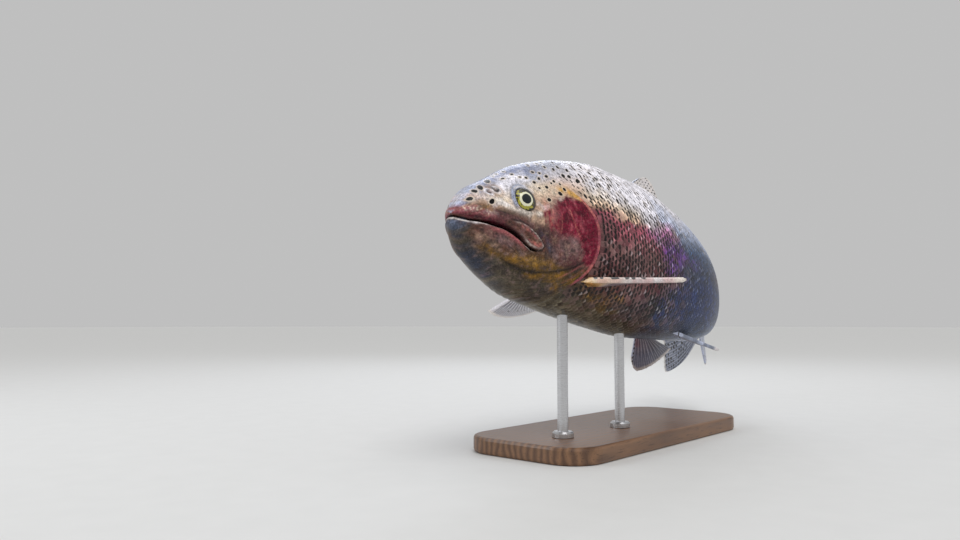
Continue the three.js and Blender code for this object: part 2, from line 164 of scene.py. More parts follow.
def turnMatrix():
    a = math.radians(body["bellyTurn"])
    b = math.radians(body["headUp"])
    aboutX = np.array([[1, 0, 0], [0, math.cos(a), -math.sin(a)], [0, math.sin(a), math.cos(a)]])
    aboutY = np.array([[math.cos(b), 0, math.sin(b)], [0, 1, 0], [-math.sin(b), 0, math.cos(b)]])
    return aboutY @ aboutX


fishTurn = turnMatrix()


def toWorld(points):
    return (points @ fishTurn.T + np.array(body["snout"])) / 1000.0


def lineDistance(points, x, y):
    # distance to a drawn line, and the share of its length at the nearest place
    best = np.full(x.shape, 1e9)
    share = np.zeros(x.shape)
    points = np.asarray(points, float)
    lengths = np.linalg.norm(np.diff(points, axis=0), axis=1)
    walked = np.concatenate([[0], np.cumsum(lengths)])
    for i in range(len(points) - 1):
        (ax, ay), (bx, by) = points[i], points[i + 1]
        t = np.clip(((x - ax) * (bx - ax) + (y - ay) * (by - ay)) / lengths[i] ** 2, 0, 1)
        d = np.hypot(x - ax - t * (bx - ax), y - ay - t * (by - ay))
        nearer = d < best
        best = np.where(nearer, d, best)
        share = np.where(nearer, (walked[i] + t * lengths[i]) / walked[-1], share)
    return best, share


def insideOf(points, x, y):
    # signed distance to a closed outline, positive inside
    closed = list(points) + [points[0]]
    d, _ = lineDistance(closed, x, y)
    inside = np.zeros(x.shape, bool)
    for (ax, ay), (bx, by) in zip(closed[:-1], closed[1:]):
        crosses = (ay > y) != (by > y)
        at = ax + (y - ay) / (by - ay + 1e-12) * (bx - ax)
        inside ^= crosses & (x < at)
    return np.where(inside, d, -d)


def bell(d, width):
    return np.exp(-(d / width) ** 2)


# Lines on the head, in millimetres back from the snout and up from the spine.
headLines = {
    "mouth": [(0, -2.2), (6.2, -2.4), (7.6, -3.7), (9.8, -5.0), (13, -6.3), (19, -7.1), (28, -7.9),
              (39, -9.3), (47, -12.0), (54, -15.4), (60, -19.2), (66, -22.3), (74, -23.4)],
    "maxilla": [(36, -2.6), (43, -2.8), (49, -3.2), (56, -3.4), (63, -5.2), (70, -9.4), (76, -14.4),
                (78.4, -18.4), (76.8, -21.2), (71, -22.0), (64.5, -20.4), (59, -17.2), (54, -13.2),
                (47.5, -9.6), (40, -7.4)],
    "gillZ": [-66, -54, -43, -32, -20, -8, 4, 12, 19, 25, 31, 38, 48, 66],
    "gillS": [88, 101, 117, 129, 135.5, 138.5, 139.5, 138, 134, 129.5, 124, 115, 105, 99],
}
gillEdgeBack = curveThrough(headLines["gillZ"], headLines["gillS"])


def mouthHeight(s):
    line = np.array(headLines["mouth"])
    return np.interp(s, line[:, 0], line[:, 1])


# The skin's grid: its lines follow the mouth and the gill openings.
grid = {
    "capEnd": .0425,
    "capRows": 30,
    "capMiddle": (0.0, -2.3),  # the pole lies in the mouth line
    "faceEnd": .10,
    "faceRows": 40,
    "cheekRows": 82,
    "shoulderEnd": .34,
    "shoulderRows": 26,
    "trunkRows": 106,
    "upperColumns": 90,
    "lowerColumns": 60,
}


def mouthAngleCurve():
    places = [grid["capEnd"], .05, .06, .07, .08, .09, .1, .11, .123]
    angles = []
    for at in places:
        below = depthBelow(at) * body["length"]
        share = -mouthHeight(at * body["length"]) / below
        angles.append(-math.degrees(math.asin(min(1, share ** (1 / body["bellyFullness"])))))
    return curveThrough(places + [.16, .20, .26, .5, 1.03], angles + [-20, -16, -12, -8, -4])


mouthAngle = mouthAngleCurve()


def graded(count, near, far, reach):
    # shares from 0 to 1 whose steps grow from near to far over the first part, by reach
    steps = near + (far - near) * smooth(0, reach, (np.arange(count) + .5) / count)
    return np.concatenate([[0], np.cumsum(steps)]) / steps.sum()


def columnAngles(at):
    # one row's angles: left side from belly to back, then the right side from back to belly
    upper = graded(grid["upperColumns"], .42, 1.15, .16)
    lower = graded(grid["lowerColumns"], .45, 1.15, .2)
    seam = mouthAngle(at)[:, None]
    below = seam - (90 + seam) * lower[::-1][None, :-1]
    above = seam + (90 - seam) * upper[None, :]
    left = np.concatenate([below, above], 1)
    right = 180 - left[:, ::-1][:, 1:-1]
    return np.concatenate([left, right], 1)


def angleOf(at, left, up):
    tip = snoutShare(at, 1e-9)
    c = np.sign(left) * (np.abs(left) / (tip * halfWidth(at))) ** (1 / body["sideFullness"])
    lower = -(np.abs(up) / (tip * depthBelow(at))) ** (1 / body["bellyFullness"])
    s = np.where(up > 0, up / (tip * heightAbove(at)), lower)
    angle = np.degrees(np.arctan2(s, c))
    return np.where(angle < -90, angle + 360, angle)


def capRows():
    # rows round the mouth line on the rounded snout, found by halving
    rim = columnAngles(np.array([grid["capEnd"]]))[0]
    rimLeft, rimUp = bodySection(grid["capEnd"], rim)
    shares = (np.arange(1, grid["capRows"] + 1) / grid["capRows"])[:, None] ** 1.25
    midLeft, midUp = grid["capMiddle"]
    left = midLeft + shares * (rimLeft - midLeft)
    up = midUp + shares * (rimUp - midUp)
    low = np.full(left.shape, body["snoutTip"] + 1e-7)
    high = np.full(left.shape, grid["capEnd"])
    for _ in range(40):
        middle = (low + high) / 2
        tip = snoutShare(middle, 1e-12)
        c2 = (np.abs(left) / (tip * halfWidth(middle))) ** (2 / body["sideFullness"])
        lower = (np.abs(up) / (tip * depthBelow(middle))) ** (2 / body["bellyFullness"])
        s2 = np.where(up > 0, (up / (tip * heightAbove(middle))) ** 2, lower)
        outside = c2 + s2 > 1
        low = np.where(outside, middle, low)
        high = np.where(outside, high, middle)
    at = (low + high) / 2
    return at, angleOf(at, left, up)


def gridPlaces():
    capAt, capAngle = capRows()
    count = capAt.shape[1]
    faceAt = np.linspace(grid["capEnd"], grid["faceEnd"], grid["faceRows"] + 1)[1:]
    start = np.repeat(faceAt[:, None], count, 1)
    # the gill edge's place depends on its height, so it is found in a few rounds
    edge = np.full(count, .22)
    for _ in range(6):
        edgeAngle = columnAngles(np.array([edge.mean()]))[0]
        _, up = bodySection(edge, edgeAngle)
        edge = gillEdgeBack(up) / body["length"]
    cheek = 1 - graded(grid["cheekRows"], .32, 1.1, .12)[::-1]
    cheekAt = grid["faceEnd"] + (edge[None, :] - grid["faceEnd"]) * cheek[1:, None]
    shoulder = graded(grid["shoulderRows"], .14, 1.3, .5)
    shoulderAt = edge[None, :] + (grid["shoulderEnd"] - edge[None, :]) * shoulder[1:, None]
    trunkAt = np.linspace(grid["shoulderEnd"], body["at"][-1], grid["trunkRows"] + 1)[1:]
    at = np.concatenate([start, cheekAt, shoulderAt, np.repeat(trunkAt[:, None], count, 1)])
    angle = np.stack([columnAngles(np.array([row.mean()]))[0] for row in at])
    return np.concatenate([capAt, at]), np.concatenate([capAngle, angle])


def ringFaces(rows, columns):
    r = np.arange(rows - 1)[:, None]
    c = np.arange(columns)[None, :]
    n = (c + 1) % columns
    quads = np.stack([r * columns + c, (r + 1) * columns + c, (r + 1) * columns + n, r * columns + n], -1)
    return quads.reshape(-1, 4)


def meshPiece(name, points, faces):
    # points in metres; faces as arrays of corner numbers, one array for each number of corners
    mesh = bpy.data.meshes.new(name)
    faces = [np.asarray(f, np.int32) for f in faces if len(f)]
    corners = np.concatenate([f.ravel() for f in faces])
    totals = np.concatenate([np.full(len(f), f.shape[1]) for f in faces]).astype(np.int32)
    starts = np.concatenate([[0], np.cumsum(totals)[:-1]]).astype(np.int32)
    mesh.vertices.add(len(points))
    mesh.vertices.foreach_set("co", np.asarray(points, np.float32).ravel())
    mesh.loops.add(len(corners))
    mesh.loops.foreach_set("vertex_index", corners)
    mesh.polygons.add(len(totals))
    mesh.polygons.foreach_set("loop_start", starts)
    mesh.polygons.foreach_set("loop_total", totals)
    mesh.polygons.foreach_set("use_smooth", np.full(len(totals), True))
    mesh.update(calc_edges=True)
    mesh.validate()
    piece = bpy.data.objects.new(name, mesh)
    bpy.context.collection.objects.link(piece)
    return piece


def keep(piece, name, values):
    # a value at each vertex, or a colour
    values = np.asarray(values, np.float32)
    if values.ndim == 2:
        layer = piece.data.color_attributes.new(name, "FLOAT_COLOR", "POINT")
        full = np.concatenate([values, np.ones((len(values), 1), np.float32)], 1)
        layer.data.foreach_set("color", full.ravel())
    else:
        layer = piece.data.attributes.new(name, "FLOAT", "POINT")
        layer.data.foreach_set("value", values)


# The head's relief. Each row: name, line, width, height or depth.
ridges = [
    ("under the eye", [(24, 15), (30, 13), (37, 10), (42, 8), (49, 5.6), (57, 5), (65, 5), (75, 7),
                       (82, 10)], 2.6, 1.1),
    ("brow", [(46, 27), (53, 33.5), (62, 36.5), (71, 34.5), (77, 29)], 3.0, .9),
    ("upper lip", [(8, .6), (10, .6), (13, -.4), (19, -2.2), (27, -3.4), (34, -4.2)], 2.2, .6),
    ("lower lip", [(7.5, -6.6), (10, -8.2), (13, -8.9), (19, -9.6), (28, -10.3), (39, -11.9), (47, -14.8),
                   (54, -18.4), (60, -22.4), (66, -25.2)], 1.3, .8),
    ("cheek bone", [(84, 18), (92, 12), (97, 2), (98, -10)], 3.0, .35),
    ("jaw bone", [(16, -22), (30, -26), (46, -30), (62, -32.5), (80, -32)], 5.0, .5),
    ("crown", [(20, 24), (40, 34), (60, 43), (80, 52)], 4.0, .25),
    ("over the maxilla", [(36, 1.2), (46, .2), (56, -1.2), (66, -4.6)], 1.3, .3),
]
furrows = [
    ("over the lip", [(9, 5.0), (16, 4.0), (25, 2.0), (31, 1.4)], 1.4, .3),
    ("under the ridge", [(28, 4.4), (36, 3.2), (45, 2.0), (54, -.2), (63, -3.6), (71, -7.6), (78, -13)],
     1.3, .9),
    ("under the lip", [(14, -12.6), (26, -13.8), (38, -15.4), (48, -18.8), (56, -23.6)], 1.5, .35),
    ("jaw fold", [(27, -27), (38, -30.6), (47, -34.8), (60, -38.2), (72, -39), (87, -37.2), (104, -33.6),
                  (114, -30.2), (123, -25)], 1.3, 1.1),
    ("front of the cheek", [(76, -6), (82, -8), (86, -14), (87, -24)], 1.6, .45),
    ("gill plate", [(104, 26), (110, 19), (113, 8), (116, -1), (118.5, -8), (119, -16), (114, -27)],
     .9, .4),
    ("lower gill plate", [(128, -12), (118, -20), (106, -27), (96, -31)], .8, .25),
    ("behind the nostrils", [(43, 25), (47, 21), (48, 15), (46, 11)], 1.5, .5),
    ("first gill ray", [(97, -43), (108, -38.5), (118, -33), (126, -25)], .8, .3),
    ("second gill ray", [(99, -49), (110, -43.5), (119, -37), (126, -31)], .8, .3),
    ("third gill ray", [(98, -55), (108, -50), (116, -43)], .8, .25),
]
jawFold = furrows[3][1]
nostrils = [(30.4, 18.0), (37.4, 20.8)]
eyePlan = {
    "at": .1125, "angle": 21.0, "radius": 11.4, "bulge": 7.6, "sunk": 3.5,
    "opening": (1.3, -.8, 9.0, 9.9),  # middle forward and up of the seat, half width, half height
    "pupil": (2.3, -2.0),
    "behind": 14.0,  # out of the iris's reach, for the ball's back
    "segments": 96,
    "rings": 48,
}


def eyeSeat(side):
    # the seat, the way out, the way forward and the way up
    angle = np.array([eyePlan["angle"] if side == 1 else 180 - eyePlan["angle"]])
    at = np.array([eyePlan["at"]])
    seat = bodyPoint(at, angle)[0]
    outwards = bodyNormal(at, angle)[0]
    forward = unit(np.cross(outwards, np.array([0, 0, 1.0]))) * side
    return seat, outwards, forward, np.cross(forward, outwards) * side


def eyePlace(side, points):
    # how far out from the seat, and the place round the lid's middle: 10 on the lid
    seat, outwards, forward, upwards = eyeSeat(side)
    rel = points - seat
    midX, midY, wide, high = eyePlan["opening"]
    x = (rel @ forward - midX) / wide
    y = (rel @ upwards - midY) / high
    return rel @ outwards, np.hypot(x, y) * 10, x, y


def headRelief(s, z, side, points, gillGap):
    lift = np.zeros(s.shape)
    onHead = smooth(2.5, -1.0, gillGap)
    for _, line, width, height in ridges:
        d, share = lineDistance(line, s, z)
        lift += height * bell(d, width) * smooth(0, .12, share + .04) * smooth(0, .12, 1.04 - share)
    for _, line, width, depth in furrows:
        d, share = lineDistance(line, s, z)
        lift -= depth * bell(d, width) * smooth(0, .12, share + .03) * smooth(0, .12, 1.03 - share)
    # the upper jaw bone: a plate with a rolled rim, in a trough
    plate = insideOf(headLines["maxilla"], s, z)
    rear = smooth(34, 60, s)
    bone = 1.15 * smooth(-.5, 1.3, plate) + .35 * bell(plate - 1.0, .9)
    lift += rear * (bone - .55 * bell(plate + 1.3, .9))
    lift -= rear * .45 * bell(plate - 3.6, 1.6)
    # nostrils: two pits with raised rims
    for ns, nz in nostrils:
        d = np.hypot((s - ns) / 1.1, z - nz)
        lift += .55 * bell(d - 2.5, .8) - 1.0 * bell(d, 1.5)
    # the gill cover's free edge stands over the shoulder
    gillHeight = smooth(33, 26, z) * smooth(-56, -45, z)
    lift += gillHeight * (.75 * smooth(-14, -1.2, gillGap) * smooth(.25, -.15, gillGap)
                          - 1.5 * smooth(-.1, .5, gillGap) * smooth(8, 1.5, gillGap))
    # fine rays of the throat's folding membrane, below the jaw fold
    d, _ = lineDistance(jawFold, s, z)
    below = smooth(-1, -4, z - np.interp(s, [40, 72, 90, 120], [-34, -39, -38, -30])) * smooth(46, 60, s)
    fold = below * smooth(24, 12, d)
    lift += .22 * fold * np.cos(2 * np.pi * (d + .05 * (s - 80)) / 2.7)
    # eye sockets and lids
    for way in (1, -1):
        out, ring, x, _ = eyePlace(way, points)
        near = (side == way) & (np.abs(out) < 12)
        front = smooth(.2, .8, x)
        lid = (.95 - .6 * front) * bell(ring - 10.6, 1.15) + .3 * bell(ring - 13, 2.6)
        lift += np.where(near, lid - 6.0 * smooth(9.9, 8.7, ring), 0)
    lift = np.minimum(lift, .2 + .25 * np.maximum(0, s - 5.9))  # low at the snout's tip
    return lift * onHead + (1 - onHead) * np.minimum(lift, 0) * gillHeight * smooth(9, 3, gillGap)


def mouthPush(s, z):
    d, _ = lineDistance(headLines["mouth"], s, z)
    deep = 2.6 + 5.4 * smooth(8, 24, s)
    wide = .55 + .7 * smooth(16, 34, s) * smooth(66, 46, s)
    return deep * bell(d, wide) * smooth(74, 66, s)


# Mottling that is the same every time for the same place.
def lattice(i, j, k, seed):
    n = (i * 73856093) ^ (j * 19349663) ^ (k * 83492791) ^ (seed * 2654435761)
    n = ((n ^ (n >> 13)) * 1274126177) & 0xffffffff
    return ((n ^ (n >> 16)) & 0xffff) / 32767.5 - 1


def cloud(x, y, layer, seed, octaves=2):
    # soft noise from about -1 to 1 over a plane, in numbered layers
    total = np.zeros(np.shape(x))
    weight = 1.0
    for octave in range(octaves):
        px, py = x * 2 ** octave, y * 2 ** octave
        i, j = np.floor(px).astype(np.int64), np.floor(py).astype(np.int64)
        k = layer + 7 * octave
        tx, ty = px - i, py - j
        tx, ty = tx * tx * (3 - 2 * tx), ty * ty * (3 - 2 * ty)
        low = lattice(i, j, k, seed) * (1 - tx) + lattice(i + 1, j, k, seed) * tx
        high = lattice(i, j + 1, k, seed) * (1 - tx) + lattice(i + 1, j + 1, k, seed) * tx
        total = total + weight * (low * (1 - ty) + high * ty)
        weight *= .55
    return total


# Colours, 0 to 255.
swatches = {
    "lavender": (142, 148, 174), "silver": (176, 178, 190), "pearl": (214, 208, 214),
    "snow": (236, 228, 226), "cream": (226, 208, 186), "peach": (220, 184, 156),
    "tan": (168, 138, 118), "blush": (188, 104, 108), "rose": (152, 74, 88),
    "crimson": (118, 12, 44), "wine": (74, 6, 28), "maroon": (84, 42, 46), "umber": (94, 62, 48),
    "bark": (84, 52, 50), "olive": (82, 60, 24), "gold": (132, 94, 26), "moss": (50, 40, 18),
    "slate": (44, 50, 66), "navy": (34, 50, 84), "steel": (54, 74, 106), "storm": (50, 56, 76),
    "plum": (92, 50, 126), "heather": (204, 118, 172), "ash": (102, 94, 78), "smoke": (80, 71, 58),
    "char": (50, 42, 42), "pale": (240, 230, 220), "ink": (11, 10, 13), "mauve": (118, 78, 78),
    "fog": (150, 162, 190), "ice": (196, 204, 228), "amber": (206, 158, 80), "taupe": (124, 94, 92),
    "dusk": (140, 112, 112), "salmon": (206, 122, 110), "frost": (248, 244, 252),
    "pink": (178, 88, 106), "brick": (128, 84, 86), "dove": (112, 120, 154), "lip": (158, 92, 96),
    "night": (26, 44, 92), "straw": (112, 88, 40), "lead": (74, 82, 100),
}


def linear(colour):
    c = np.asarray(colour, float) / 255
    return np.where(c <= .04045, c / 12.92, ((c + .055) / 1.055) ** 2.4)


def swatch(name):
    return linear(swatches[name])


def tinted(colour, name, share):
    return colour + (swatch(name) - colour) * share[:, None]


# Bands round the body at a few places along it: height angle (90 back, -90 belly) and swatch. The dark
# tones low on the body are painted shade from the light above; the frost and ice high on the back are
# partly the back's pale colour, partly painted highlight.
bands = [
    (.02, [(90, "silver"), (64, "ice"), (34, "lavender"), (24, "tan"), (12, "lip"), (2, "rose"),
           (-8, "maroon"), (-20, "umber"), (-45, "umber"), (-70, "slate"), (-90, "slate")]),
    (.07, [(90, "dove"), (68, "dove"), (56, "lavender"), (47, "lavender"), (36, "pearl"), (20, "cream"),
           (10, "tan"), (0, "maroon"), (-16, "mauve"), (-34, "umber"), (-50, "smoke"), (-68, "smoke"),
           (-90, "storm")]),
    (.13, [(90, "dove"), (66, "dove"), (53, "lavender"), (42, "silver"), (34, "cream"), (24, "peach"),
           (8, "tan"), (-6, "maroon"), (-20, "umber"), (-34, "olive"), (-48, "moss"), (-64, "smoke"),
           (-90, "ash")]),
    (.20, [(90, "lavender"), (60, "silver"), (46, "pearl"), (32, "peach"), (20, "dusk"), (2, "rose"),
           (-12, "mauve"), (-26, "maroon"), (-36, "moss"), (-54, "smoke"), (-68, "ash"), (-90, "ash")]),
    (.265, [(90, "silver"), (64, "frost"), (36, "frost"), (28, "cream"), (21, "peach"), (17, "pink"),
            (12, "pink"), (7, "brick"), (-2, "taupe"), (-20, "brick"), (-36, "umber"), (-50, "olive"),
            (-62, "smoke"), (-76, "ash"), (-90, "ash")]),
    (.34, [(90, "silver"), (60, "frost"), (29, "frost"), (21, "cream"), (14, "peach"), (11, "pink"),
           (6, "pink"), (1, "brick"), (-8, "taupe"), (-22, "mauve"), (-40, "mauve"), (-56, "char"),
           (-70, "smoke"), (-90, "ash")]),
    (.405, [(90, "silver"), (58, "frost"), (22, "frost"), (16, "pearl"), (11, "heather"), (4, "pink"),
            (-2, "mauve"), (-18, "maroon"), (-30, "maroon"), (-42, "slate"), (-60, "char"), (-80, "ash"),
            (-90, "ash")]),
    (.45, [(90, "silver"), (56, "frost"), (24, "ice"), (15, "heather"), (9, "plum"), (-1, "plum"),
           (-9, "plum"), (-20, "bark"), (-30, "night"), (-50, "night"), (-72, "storm"), (-90, "storm")]),
    (.51, [(90, "silver"), (46, "frost"), (22, "fog"), (10, "steel"), (2, "plum"), (-6, "storm"),
           (-14, "storm"), (-24, "night"), (-50, "night"), (-72, "storm"), (-90, "storm")]),
    (.60, [(90, "silver"), (48, "ice"), (30, "fog"), (14, "steel"), (-2, "navy"), (-14, "night"),
           (-42, "night"), (-70, "steel"), (-90, "fog")]),
    (.85, [(90, "silver"), (44, "fog"), (16, "steel"), (3, "mauve"), (-10, "steel"), (-45, "steel"),
           (-90, "fog")]),
    (1.03, [(90, "fog"), (20, "steel"), (0, "steel"), (-30, "steel"), (-90, "fog")]),
]


def bandColours(at, rise):
    places = [place for place, _ in bands]
    rows = []
    for _, stops in bands:
        angles = [a for a, _ in stops][::-1]
        tones = np.array([swatch(name) for _, name in stops][::-1])
        rows.append(np.stack([np.interp(rise, angles, tones[:, k]) for k in range(3)], -1))
    colour = rows[0]
    for i in range(1, len(rows)):
        share = smooth(places[i - 1], places[i], at)[:, None]
        colour = colour + (rows[i] - colour) * share
    return colour


# Soft washes on the head's side: line, width, swatch, strength, mottle (0 even, 1 broken up). The wine
# just above the mouth, and the dark ones laid along the furrows under the ridge and in front of the cheek,
# are painted shade.
washes = [
    ([(7, 4), (10, 2), (15, 0), (21, -1.6), (29, -2.8)], 2.9, "lip", .9, .4),
    ([(14, 10), (20, 8), (27, 6)], 3.4, "tan", .6, .4),
    ([(20, 3.6), (26, 4.2), (31, 2.6)], 2.6, "gold", .6, .5),
    ([(17, 13.5), (22, 13), (27, 12)], 2.6, "peach", .7, .3),
    # painted shade under the upper lip, just above the mouth's slit
    ([(12, -3.2), (19, -4.6), (28, -5.8), (38, -7.0)], 2.3, "wine", .75, .3),
    ([(28, 13), (37, 9.8), (45, 7.2), (55, 5.4), (65, 5), (76, 7)], 2.3, "pale", .9, .2),
    ([(34, 17), (42, 22)], 5.0, "cream", .8, .3),
    ([(44, 24), (50, 31), (58, 36), (70, 38)], 4.4, "frost", .95, .1),
    ([(74, 26), (92, 31), (106, 31)], 5.5, "cream", .75, .5),
    ([(68, 3), (78, 3), (84, 0)], 3.6, "peach", .8, .4),
    # painted shade along the furrow under the ridge
    ([(32, 2.4), (41, 1.6), (50, -.2), (60, -3.2), (70, -8), (77, -13)], 1.4, "maroon", .95, .2),
    ([(38, -.6), (46, -1.6), (55, -2.4), (62, -4.6)], 1.7, "mauve", .8, .4),
    ([(44, -6), (52, -8.4), (60, -12.5), (68, -17)], 3.4, "umber", .85, .5),
    ([(56, -6.6), (61, -8.2)], 1.0, "salmon", .75, .6),
    ([(67, -17.5), (71, -19), (75, -17.6)], 1.2, "salmon", .9, .8),
    # painted shade in the furrow in front of the cheek
    ([(75, -5.6), (82, -6.4)], 1.3, "ink", .8, .3),
    ([(78, -9), (84, -13), (86, -20)], 4.2, "storm", .75, .6),
    ([(90, -10), (98, -11)], 4.0, "maroon", .6, .6),
    ([(84, 18), (84, 9)], 3.5, "salmon", .6, .7),
    ([(112, -12), (105, -18), (95, -24)], 6.0, "dusk", .75, .7),
    ([(96, -13), (106, -15), (112, -22)], 3.0, "taupe", .6, .9),
    ([(98, -30), (110, -28), (120, -26)], 3.0, "maroon", .7, .5),
    ([(106, 34), (112, 34.4), (118, 33), (123, 29.5)], 3.6, "amber", .95, .3),
    ([(92, -35), (106, -36)], 5.0, "olive", 1.0, .3),
    ([(96, -34), (104, -36)], 2.6, "gold", .6, .9),
    ([(82, -5), (90, -10)], 4.4, "umber", .8, .5),
    # painted shade in the furrow in front of the cheek
    ([(80, -8), (87, -13)], 2.6, "char", .6, .5),
    ([(48, -36), (62, -39.6), (74, -40)], 2.2, "moss", .6, .4),
    ([(66, -42), (80, -41), (92, -40.5), (104, -38)], 2.0, "gold", .9, .5),
    ([(96, -48), (108, -44), (118, -38)], 5.0, "gold", .6, .9),
    ([(16, -14), (26, -15.5), (36, -17), (44, -20.5)], 3.4, "mauve", .8, .7),
    ([(36, -18), (44, -20), (52, -24), (58, -27)], 3.4, "dusk", .65, .8),
    ([(20, -18), (27, -20), (34, -23)], 2.6, "tan", .6, .8),
    ([(22, -24), (31, -27), (38, -29), (46, -31.5), (53, -32)], 2.4, "gold", .8, .6),
    ([(54, -29.5), (66, -31), (77, -32), (88, -31)], 3.2, "amber", .35, .9),
    ([(54, -30.5), (66, -33), (78, -34), (90, -33)], 3.6, "gold", .75, .6),
    ([(11, -12), (12, -19), (16, -25)], 3.4, "smoke", .85, .6),
    ([(17, -30), (24, -35), (32, -39)], 5.5, "slate", .8, .6),
    ([(38, -42), (50, -46)], 4.5, "ash", .6, .8),
    ([(84, -7), (90, -9)], 5.0, "maroon", .6, .6),
    ([(60, -46), (80, -49), (96, -52)], 5.0, "smoke", .6, .7),
    ([(126, -33), (130, -40)], 4.0, "gold", .5, .5),
]
# Clouds of colour behind the head: place, height angle, their reaches, swatch, strength, mottle. The
# first, maroon below the pectoral fin, is a painted shadow of the fin.
clouds = [
    # painted shadow under the pectoral fin
    (.265, -43, .026, 5.0, "maroon", .9, .3),
    (.300, -40, .018, 4.0, "wine", .5, .6),
    (.262, -56, .024, 4.0, "gold", .85, .6),
    (.304, -61, .026, 5.0, "gold", .7, .9),
    (.285, -52, .022, 4.5, "gold", .75, .7),
    (.330, -54, .022, 4.5, "moss", .7, .8),
    (.318, -46, .014, 3.5, "amber", .5, .9),
    (.336, -42, .022, 7.0, "mauve", .7, .7),
    (.365, -60, .030, 7.0, "char", .6, .6),
    (.407, -60, .020, 7.0, "smoke", .7, .6),
    (.444, -36, .022, 9.0, "night", .7, .5),
    (.436, -56, .016, 7.0, "night", .7, .5),
    (.497, -22, .022, 9.0, "night", .8, .4),
    (.330, 17, .024, 3.0, "peach", .5, .9),
    (.372, 13, .016, 3.0, "salmon", .5, .9),
    (.290, 2, .034, 6.0, "rose", .5, 1.0),
    (.345, -2, .030, 6.0, "rose", .55, 1.0),
    (.392, 3, .020, 6.0, "rose", .45, .9),
    (.412, 11, .016, 4.0, "heather", .8, .4),
    (.416, 9, .014, 4.5, "lavender", .75, .5),
    (.300, -24, .030, 6.0, "maroon", .55, .9),
    (.345, -14, .030, 6.0, "char", .4, 1.0),
    (.380, -22, .024, 8.0, "maroon", .6, .8),
    (.428, 10, .012, 5.0, "heather", .8, .5),
    (.440, 2, .020, 7.0, "plum", .95, .4),
    (.470, 3, .020, 6.0, "plum", .9, .5),
    (.452, -9, .018, 5.0, "plum", .7, .6),
    (.540, 4, .030, 9.0, "steel", .8, .4),
]
crimsonPatch = [(80, 10), (88, 15), (99, 23), (108, 28), (118, 28.5), (126, 26), (134, 18), (140, 8),
                (140, -9), (137, -20), (131, -29), (123, -27), (121, -24), (122, -19), (119.5, -12),
                (115, -6.4), (107, -4.4), (97, -6), (88, -4), (82, 2)]


